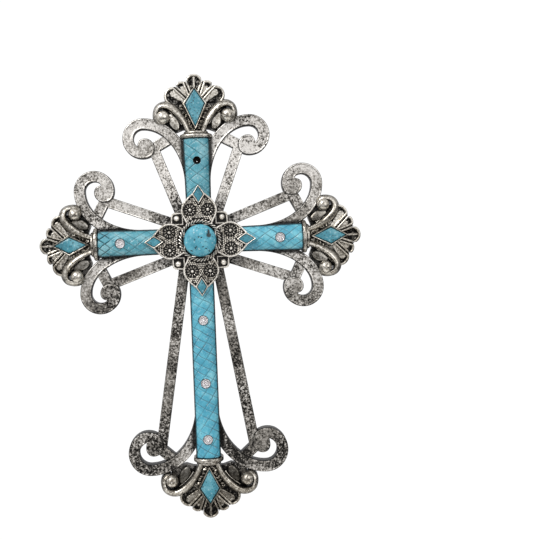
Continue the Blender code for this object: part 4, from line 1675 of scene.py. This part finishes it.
@dataclass
class Rosette:
    """The middle of the cross: petals with beaded flowers, corner leaves, rope ring and round stone."""

    foot: float = 0.0012
    hub_radius: float = 0.0170
    hub_height: float = 0.0110
    petal_height: float = 0.0124
    petal_rim_height: float = 0.0142
    flower_reach: float = 0.0205
    flower_side: float = 0.0060
    flower_radius: float = 0.0045
    leaf_reach: float = 0.0149
    leaf_half_side: float = 0.0042
    leaf_height: float = 0.0112
    rope_radius: float = 0.0130
    rope_strands: int = 38
    rope_height: float = 0.0149
    stone_radius: float = 0.0111
    stone_edge_height: float = 0.0135
    depth: float = 0.0190
    bead_radius: float = 0.00055
    seed: int = 11

    PETAL = (
        (0.0100, 0.0080),
        (0.0140, 0.0100),
        (0.0175, 0.0117),
        (0.0210, 0.0120),
        (0.0245, 0.0109),
        (0.0280, 0.0082),
        (0.0315, 0.0044),
    )
    LOZENGE = ((0.0243, 0.0), (0.03085, 0.0045), (0.0374, 0.0), (0.03085, -0.0045))
    LOZENGE_RIM_HEIGHT = 0.0150
    # The two rings of a flower: how many petals, their reach from its middle, their rise over the
    # floor, their radii, and the first one's place in petals
    FLOWER_RINGS = (
        (11, 0.0029, 0.0004, (0.0010, 0.00042, 0.0009), 0.0),
        (17, 0.0049, 0.0003, (0.0006, 0.0007, 0.0009), 0.5),
    )

    def petal_outline(self) -> Outline:
        """A petal's outline."""
        half = smooth_curve(list(self.PETAL), 4)
        return half + [(x, -y) for x, y in reversed(half)]

    def petal(self, forms: Forms) -> None:
        """Draws one petal with its rim, flowers and grains."""
        rim, floor = self.petal_rim_height, self.petal_height
        forms.plate(
            self.petal_outline(),
            self.foot,
            [
                (0.0, rim - 0.0012, 0.5),
                (0.0001, rim - 0.0006, 0.1),
                (0.0003, rim - 0.0001),
                (0.0006, rim),
                (0.0010, rim - 0.0001),
                (0.0012, rim - 0.0007, 0.5),
                (0.0014, floor, 1.0),
            ],
        )
        for side in (1.0, -1.0):
            self.flower(forms, (self.flower_reach, self.flower_side * side))
        self.grains(forms)
        rim = self.LOZENGE_RIM_HEIGHT
        forms.plate(
            list(self.LOZENGE),
            self.foot,
            [
                (0.0, rim - 0.0010, 0.3),
                (0.0001, rim - 0.0005),
                (0.0003, rim - 0.0001),
                (0.0006, rim),
                (0.0009, rim - 0.0001),
                (0.0011, rim - 0.0006, 0.5),
                (0.0012, rim - 0.0016, 1.0),
            ],
        )

    def flower(self, forms: Forms, centre: Point) -> None:
        """Draws a small flower: a middle ball in a ring of round petals."""
        floor = self.petal_height
        forms.bead(centre, floor + 0.0009, (0.0011, 0.0011, 0.0011))
        for count, reach, rise, radii, first in self.FLOWER_RINGS:
            for number in range(count):
                angle = math.tau * (number + first) / count
                spot = (centre[0] + reach * math.cos(angle), centre[1] + reach * math.sin(angle))
                forms.bead(spot, floor + rise, radii, angle)

    def grains(self, forms: Forms) -> None:
        """Strews grains of metal over the petal where nothing else stands."""
        draw = Random(self.seed)
        outline = self.petal_outline()
        pitch = 0.0014
        flowers = [(self.flower_reach, self.flower_side * side) for side in (1.0, -1.0)]
        clear_of_flower = self.flower_radius + 0.0003
        for row in range(-10, 11):
            for column in range(18):
                x = 0.0120 + column * pitch * 0.87
                y = (row + 0.5 * (column % 2)) * pitch
                x += draw.uniform(-0.0001, 0.0001)
                y += draw.uniform(-0.0001, 0.0001)
                near_rim = min(math.dist((x, y), point) for point in outline) < 0.0017
                in_flower = min(math.dist((x, y), flower) for flower in flowers) < clear_of_flower
                in_lozenge = x > 0.0240 - 0.0003 and abs(y) < (x - 0.0235) * 0.75
                in_rope = math.hypot(x, y) < self.rope_radius + 0.0020
                outside = not point_inside((x, y), outline)
                if near_rim or in_flower or in_lozenge or in_rope or outside:
                    continue
                radius = self.bead_radius * draw.uniform(0.8, 1.5)
                forms.bead((x, y), self.petal_height + 0.0003, (radius, radius, radius))

    def corner_leaf(self, forms: Forms) -> None:
        """Draws a small rimmed leaf with a ball, between two petals."""
        reach, half = self.leaf_reach, self.leaf_half_side
        corner = arc((reach + half - 0.0030, reach + half - 0.0030), (0.0030, 0.0030), 90.0, 0.0, 6)
        near, far = reach - half, reach + half
        outline = [(near, far), *corner, (far, near), (near, near)]
        top = self.leaf_height + 0.0007
        forms.plate(
            outline,
            self.foot,
            [
                (0.0, top - 0.0009, 0.5),
                (0.0001, top - 0.0004),
                (0.0004, top),
                (0.0009, top),
                (0.0012, top - 0.0003, 0.3),
                (0.0014, self.leaf_height - 0.0007, 1.0),
            ],
        )
        forms.ball((reach + 0.0003, reach + 0.0003), 0.0019, top - 0.0005, self.leaf_height - 0.001, 20)

    def build(self, finishes: Finishes) -> None:
        """Draws the rosette, its lozenges and the round stone."""
        forms = Forms()
        forms.plate(
            arc((0.0, 0.0), (self.hub_radius,) * 2, 0.0, 360.0, 48)[:-1],
            self.foot,
            [(0.0, self.hub_height - 0.0004, 1.0), (0.0004, self.hub_height, 1.0)],
        )
        for quarter in range(4):
            forms.turn = turned(90.0 * quarter)
            self.petal(forms)
            self.corner_leaf(forms)
        forms.turn = Matrix.Identity(4)
        ring = arc((0.0, 0.0), (self.rope_radius,) * 2, 0.0, 360.0, 64)[:-1]
        stations = [station(place, heading) for place, heading in zip(ring, headings(ring, closed=True))]
        crown = arc((0.0, 0.0134), (0.0013, 0.0011), 180.0, 0.0, 8)
        hoop = [(-0.0015, 0.0100), *crown, (0.0015, 0.0100)]
        forms.glaze = 1.0
        forms.sweep(hoop, stations, closed=True)
        forms.glaze = 0.0
        for number in range(self.rope_strands):
            angle = math.tau * number / self.rope_strands
            spot = (self.rope_radius * math.cos(angle), self.rope_radius * math.sin(angle))
            forms.bead(spot, self.rope_height, (0.0021, 0.00056, 0.0012), angle + math.radians(128.0))
        piece = forms.finish("rosette")
        dress(piece, finishes.rosette, ("cross_casting",))
        self.stone(finishes)
        rim = self.LOZENGE_RIM_HEIGHT
        for quarter, name in enumerate(("right", "top", "left", "bottom")):
            inlay = Forms()
            inlay.turn = turned(90.0 * quarter)
            inlay.plate(
                list(self.LOZENGE),
                rim - 0.0025,
                [(0.00115, rim - 0.0012, 1.0), (0.0014, rim - 0.0008, 0.5), (0.0017, rim - 0.0006)],
            )
            piece = inlay.finish(f"petal_lozenge_{name}")
            piece.data.polygons.foreach_set("use_smooth", [False] * len(piece.data.polygons))
            dress(piece, finishes.lozenge_turquoise, ("cross_casting",))

    def stone(self, finishes: Finishes) -> None:
        """Draws the round stone with its few pits."""
        rise = self.depth - self.stone_edge_height
        forms = Forms()
        profile = [
            (self.stone_radius * math.cos(a), self.stone_edge_height + rise * math.sin(a)) for a in quarter_turn(56)
        ]
        forms.lathe([*profile, (self.stone_radius, 0.0110), (0.0, 0.0110)], (0.0, 0.0), 144)
        piece = forms.finish("round_stone")
        wash = piece.data.attributes["wash"]
        for vert in piece.data.vertices:
            spot = (vert.co.x, vert.co.z + STONE_DROP)
            for x, y, width, height in self.PITS:
                away = math.hypot((spot[0] - x) / width, (spot[1] - y) / height)
                if away < 1.0 and vert.co.y < -self.stone_edge_height:
                    vert.co.y += 0.0006 * (1.0 - away * away)
                    mark = wash.data[vert.index]
                    mark.value = max(mark.value, min(1.0, 2.2 * (1.0 - away)))
        dress(piece, finishes.round_stone, ("cross_casting",))

    # Places, widths and heights of the larger pits, the first two of them one drop-shaped chip
    PITS = (
        (0.0059, 0.0033, 0.0021, 0.0020),
        (0.0059, 0.0055, 0.0010, 0.0022),
        (-0.0008, 0.0022, 0.0007, 0.0006),
        (0.0010, 0.0018, 0.0008, 0.0005),
        (-0.0059, -0.0067, 0.0010, 0.0006),
        (-0.0032, -0.0050, 0.0005, 0.0009),
        (0.0038, -0.0056, 0.0008, 0.0005),
        (0.0058, -0.0072, 0.0006, 0.0006),
        (-0.0036, 0.0004, 0.0006, 0.0006),
    )


def point_inside(point: Point, outline: Outline) -> bool:
    """Whether a point lies inside an outline."""
    inside = False
    x, y = point
    for (x1, y1), (x2, y2) in zip(outline, outline[1:] + outline[:1]):
        if (y1 > y) != (y2 > y) and x < x1 + (y - y1) / (y2 - y1) * (x2 - x1):
            inside = not inside
    return inside


@dataclass
class NailHole:
    """A dark lining in the nail hole and in the recess for the nail's head: painted shade, for the shade inside
    them.
    """

    reach: float = 0.0537
    head_radius: float = 0.0027
    head_floor: float = 0.0050
    shank_radius: float = 0.0009
    wall: float = 0.0002
    shank_wall: float = 0.0004
    mouth_height: float = 0.0118

    def build(self, finishes: Finishes) -> None:
        """Draws the lining as a stepped tube."""
        outer_head, outer_shank = self.head_radius - 0.00002, self.shank_radius - 0.00002
        bore = outer_shank - self.shank_wall
        profile = [
            (outer_head, self.mouth_height),
            (outer_head, self.head_floor + 0.00002),
            (outer_shank, self.head_floor + 0.00002),
            (outer_shank, 0.0001),
            (bore, 0.0001),
            (bore, self.head_floor + self.wall),
            (outer_head - self.wall, self.head_floor + self.wall),
            (outer_head - self.wall, self.mouth_height),
            (outer_head, self.mouth_height),
        ]
        forms = Forms()
        forms.lathe(profile, (0.0, self.reach), 32)
        dress(forms.finish("nail_hole_painted_shade_lining"), finishes.hole, ("cross_casting",))


@dataclass
class ClearStone:
    """One faceted clear stone on its foil, in its pocket."""

    name: str
    place: Point
    radius: float = 0.0028
    low: float = 0.0109
    high: float = 0.0132
    sides: int = 12

    # The foil has the cut facets' reflections painted on it as light and dark fields between these rings
    FOIL_RINGS = (0.0009, 0.0014, 0.0019, 0.0025)
    # How far in from the rim every other field is painted dark, as a painted facet reflection, in tenths of a
    # millimetre
    PAINTED_DARK_FACETS = (12, 24)

    def build(self, finishes: Finishes) -> None:
        """Draws the stone from its girdle up through two rows of facets to its table."""
        form = bmesh.new()
        bmesh.ops.create_circle(
            form,
            cap_ends=True,
            segments=self.sides,
            radius=self.radius,
            matrix=Matrix.Translation((*self.place, self.low)),
        )
        form.faces.ensure_lookup_table()
        front = form.faces[0]
        depth = self.high - self.low
        inner = []
        turn = math.pi / self.sides
        for share, rise, twist in ((1.0, 0.25, 0.0), (0.80, 0.70, turn), (0.55, 1.0, turn)):
            grown = bmesh.ops.extrude_face_region(form, geom=[front])["geom"]
            top = next(part for part in grown if isinstance(part, bmesh.types.BMFace))
            ring = math.dist(top.verts[0].co.xy, self.place) / self.radius
            centre = Matrix.Translation((*self.place, 0.0))
            size = Matrix.Diagonal((share / ring, share / ring, 1.0, 1.0))
            bmesh.ops.transform(
                form,
                matrix=centre @ Matrix.Rotation(twist, 4, "Z") @ size @ centre.inverted(),
                verts=top.verts,
                space=Matrix.Identity(4),
            )
            for vert in top.verts:
                vert.co.z = self.low + depth * rise
            if rise > 0.25:
                inner.append(front)
            front = top
        bmesh.ops.delete(form, geom=inner, context="FACES_ONLY")
        bmesh.ops.triangulate(form, faces=[face for face in form.faces if len(face.verts) == 4])
        forms = Forms()
        forms.take(form)
        piece = forms.finish(f"crystal_{self.name}")
        piece.data.polygons.foreach_set("use_smooth", [False] * len(piece.data.polygons))
        dress(piece, finishes.crystal, (f"clear_stone_{self.name}",))
        cup = Forms()
        cup.plate(
            arc(self.place, (self.radius + 0.0002,) * 2, 0.0, 360.0, 28)[:-1],
            self.low - 0.0002,
            [
                (0.0, self.low + 0.0004),
                (0.0001, self.low + 0.0004),
                (0.00015, self.low - 0.00008),
                *((inset, self.low - 0.00008) for inset in self.FOIL_RINGS),
            ],
        )
        piece = cup.finish(f"foil_{self.name}")
        wash = piece.data.attributes["wash"].data
        for vert in piece.data.vertices:
            across, up = vert.co.x - self.place[0], vert.co.z + STONE_DROP - self.place[1]
            ring = round((self.radius + 0.0002 - math.hypot(across, up)) * 1e4)
            sector = round(math.atan2(up, across) / math.tau * 28)
            # Painted reflections: every other facet field of the foil is painted dark
            if ring >= 8:
                in_band = self.PAINTED_DARK_FACETS[0] < ring < self.PAINTED_DARK_FACETS[1]
                painted_dark_facet = in_band and (sector // 3 + ring // 8) % 2
                wash[vert.index].value = 0.6 if painted_dark_facet else 0.0
        dress(piece, finishes.foil, ("cross_casting",))


STONES = (
    ClearStone("right_arm", (0.0537, 0.0)),
    ClearStone("left_arm", (-0.0537, 0.0)),
    ClearStone("long_beam_upper", (0.0, -0.0537)),
    ClearStone("long_beam_middle", (0.0, -0.0960)),
    ClearStone("long_beam_lower", (0.0, -0.1337)),
)


@dataclass
class Studio:
    """The pale floor, the soft lights, the white surround and the camera."""

    camera_distance: float = 0.56
    lens_mm: float = 54.64
    shift: Point = (0.123, -0.0548)
    roll_deg: float = -2.3
    floor_height: float = -0.45
    floor_radius: float = 0.5

    def floor(self) -> None:
        """A round pale floor, well below the cross."""
        form = bmesh.new()
        bmesh.ops.create_circle(form, cap_ends=True, segments=64, radius=self.floor_radius)
        bmesh.ops.translate(form, verts=form.verts, vec=(0.0, 0.0, self.floor_height))
        data = bpy.data.meshes.new("floor")
        form.to_mesh(data)
        form.free()
        floor = bpy.data.objects.new("floor", data)
        bpy.context.scene.collection.objects.link(floor)
        data.materials.append(PlainFinish("pale_floor", "#f2f1ee", 0.0, 0.7).make())

    def surround(self) -> None:
        """White where the camera looks past the cross, and a soft grey room for it to reflect."""
        world = bpy.data.worlds.new("soft_white_room")
        bpy.context.scene.world = world
        world.use_nodes = True
        tree = world.node_tree
        tree.nodes.clear()
        way = add_node(tree, "ShaderNodeTexCoord").outputs["Generated"]
        split = add_node(tree, "ShaderNodeSeparateXYZ", links={0: way})
        lean = add_node(
            tree,
            "ShaderNodeMath",
            {"operation": "MULTIPLY_ADD", 1: -0.25},
            {0: split.outputs["X"], 2: split.outputs["Z"]},
        )
        room = add_node(
            tree,
            "ShaderNodeMapRange",
            {
                "interpolation_type": "SMOOTHSTEP",
                "From Min": -0.55,
                "From Max": 0.35,
                "To Min": 0.12,
                "To Max": 1.0,
            },
            {"Value": lean.outputs[0]},
        )
        soft = add_node(
            tree,
            "ShaderNodeBackground",
            {"Color": linear("#f4f4f6")},
            {"Strength": room.outputs[0]},
        )
        paper = {"Color": (1.0, 1.0, 1.0, 1.0), "Strength": 1.05}
        white = add_node(tree, "ShaderNodeBackground", paper)
        ray = add_node(tree, "ShaderNodeLightPath")
        mix = add_node(
            tree,
            "ShaderNodeMixShader",
            {},
            {0: ray.outputs["Is Camera Ray"], 1: soft.outputs[0], 2: white.outputs[0]},
        )
        add_node(tree, "ShaderNodeOutputWorld", {}, {0: mix.outputs[0]})

    def light(self, name: str, place: tuple[float, float, float], size: float, power: float) -> None:
        """Adds a square soft light that faces the cross."""
        data = bpy.data.lights.new(name, "AREA")
        data.size = size
        data.energy = power
        lamp = bpy.data.objects.new(name, data)
        bpy.context.scene.collection.objects.link(lamp)
        lamp.location = place
        aim = Vector((0.0, 0.0, -STONE_DROP)) - Vector(place)
        lamp.rotation_euler = aim.to_track_quat("-Z", "Y").to_euler()

    def build(self) -> None:
        """Sets up the studio."""
        bpy.context.scene.view_settings.view_transform = "Standard"
        self.floor()
        self.surround()
        self.light("key", (-0.55, -0.75, 0.65), 0.45, 9.0)
        self.light("fill", (0.7, -0.9, 0.1), 0.7, 3.0)
        data = bpy.data.cameras.new("camera")
        data.lens = self.lens_mm
        data.sensor_width = 36.0
        data.shift_x, data.shift_y = self.shift
        camera = bpy.data.objects.new("camera", data)
        bpy.context.scene.collection.objects.link(camera)
        place = Matrix.Translation((0.0, -self.camera_distance, -STONE_DROP))
        upright = Matrix.Rotation(math.radians(90.0), 4, "X")
        camera.matrix_world = place @ upright @ Matrix.Rotation(math.radians(self.roll_deg), 4, "Z")
        bpy.context.scene.camera = camera


def main() -> None:
    """Builds the cross piece by piece."""
    logging.basicConfig(level=logging.INFO, format="%(message)s")
    finishes = Finishes()
    Studio().build()
    ScrollFrame().build(finishes)
    for arm in ARMS:
        Beam(arm).build(finishes)
        Collar(arm).build(finishes)
        Finial(arm).build(finishes)
    Rosette().build(finishes)
    NailHole().build(finishes)
    for stone in STONES:
        stone.build(finishes)


if __name__ == "__main__":
    main()
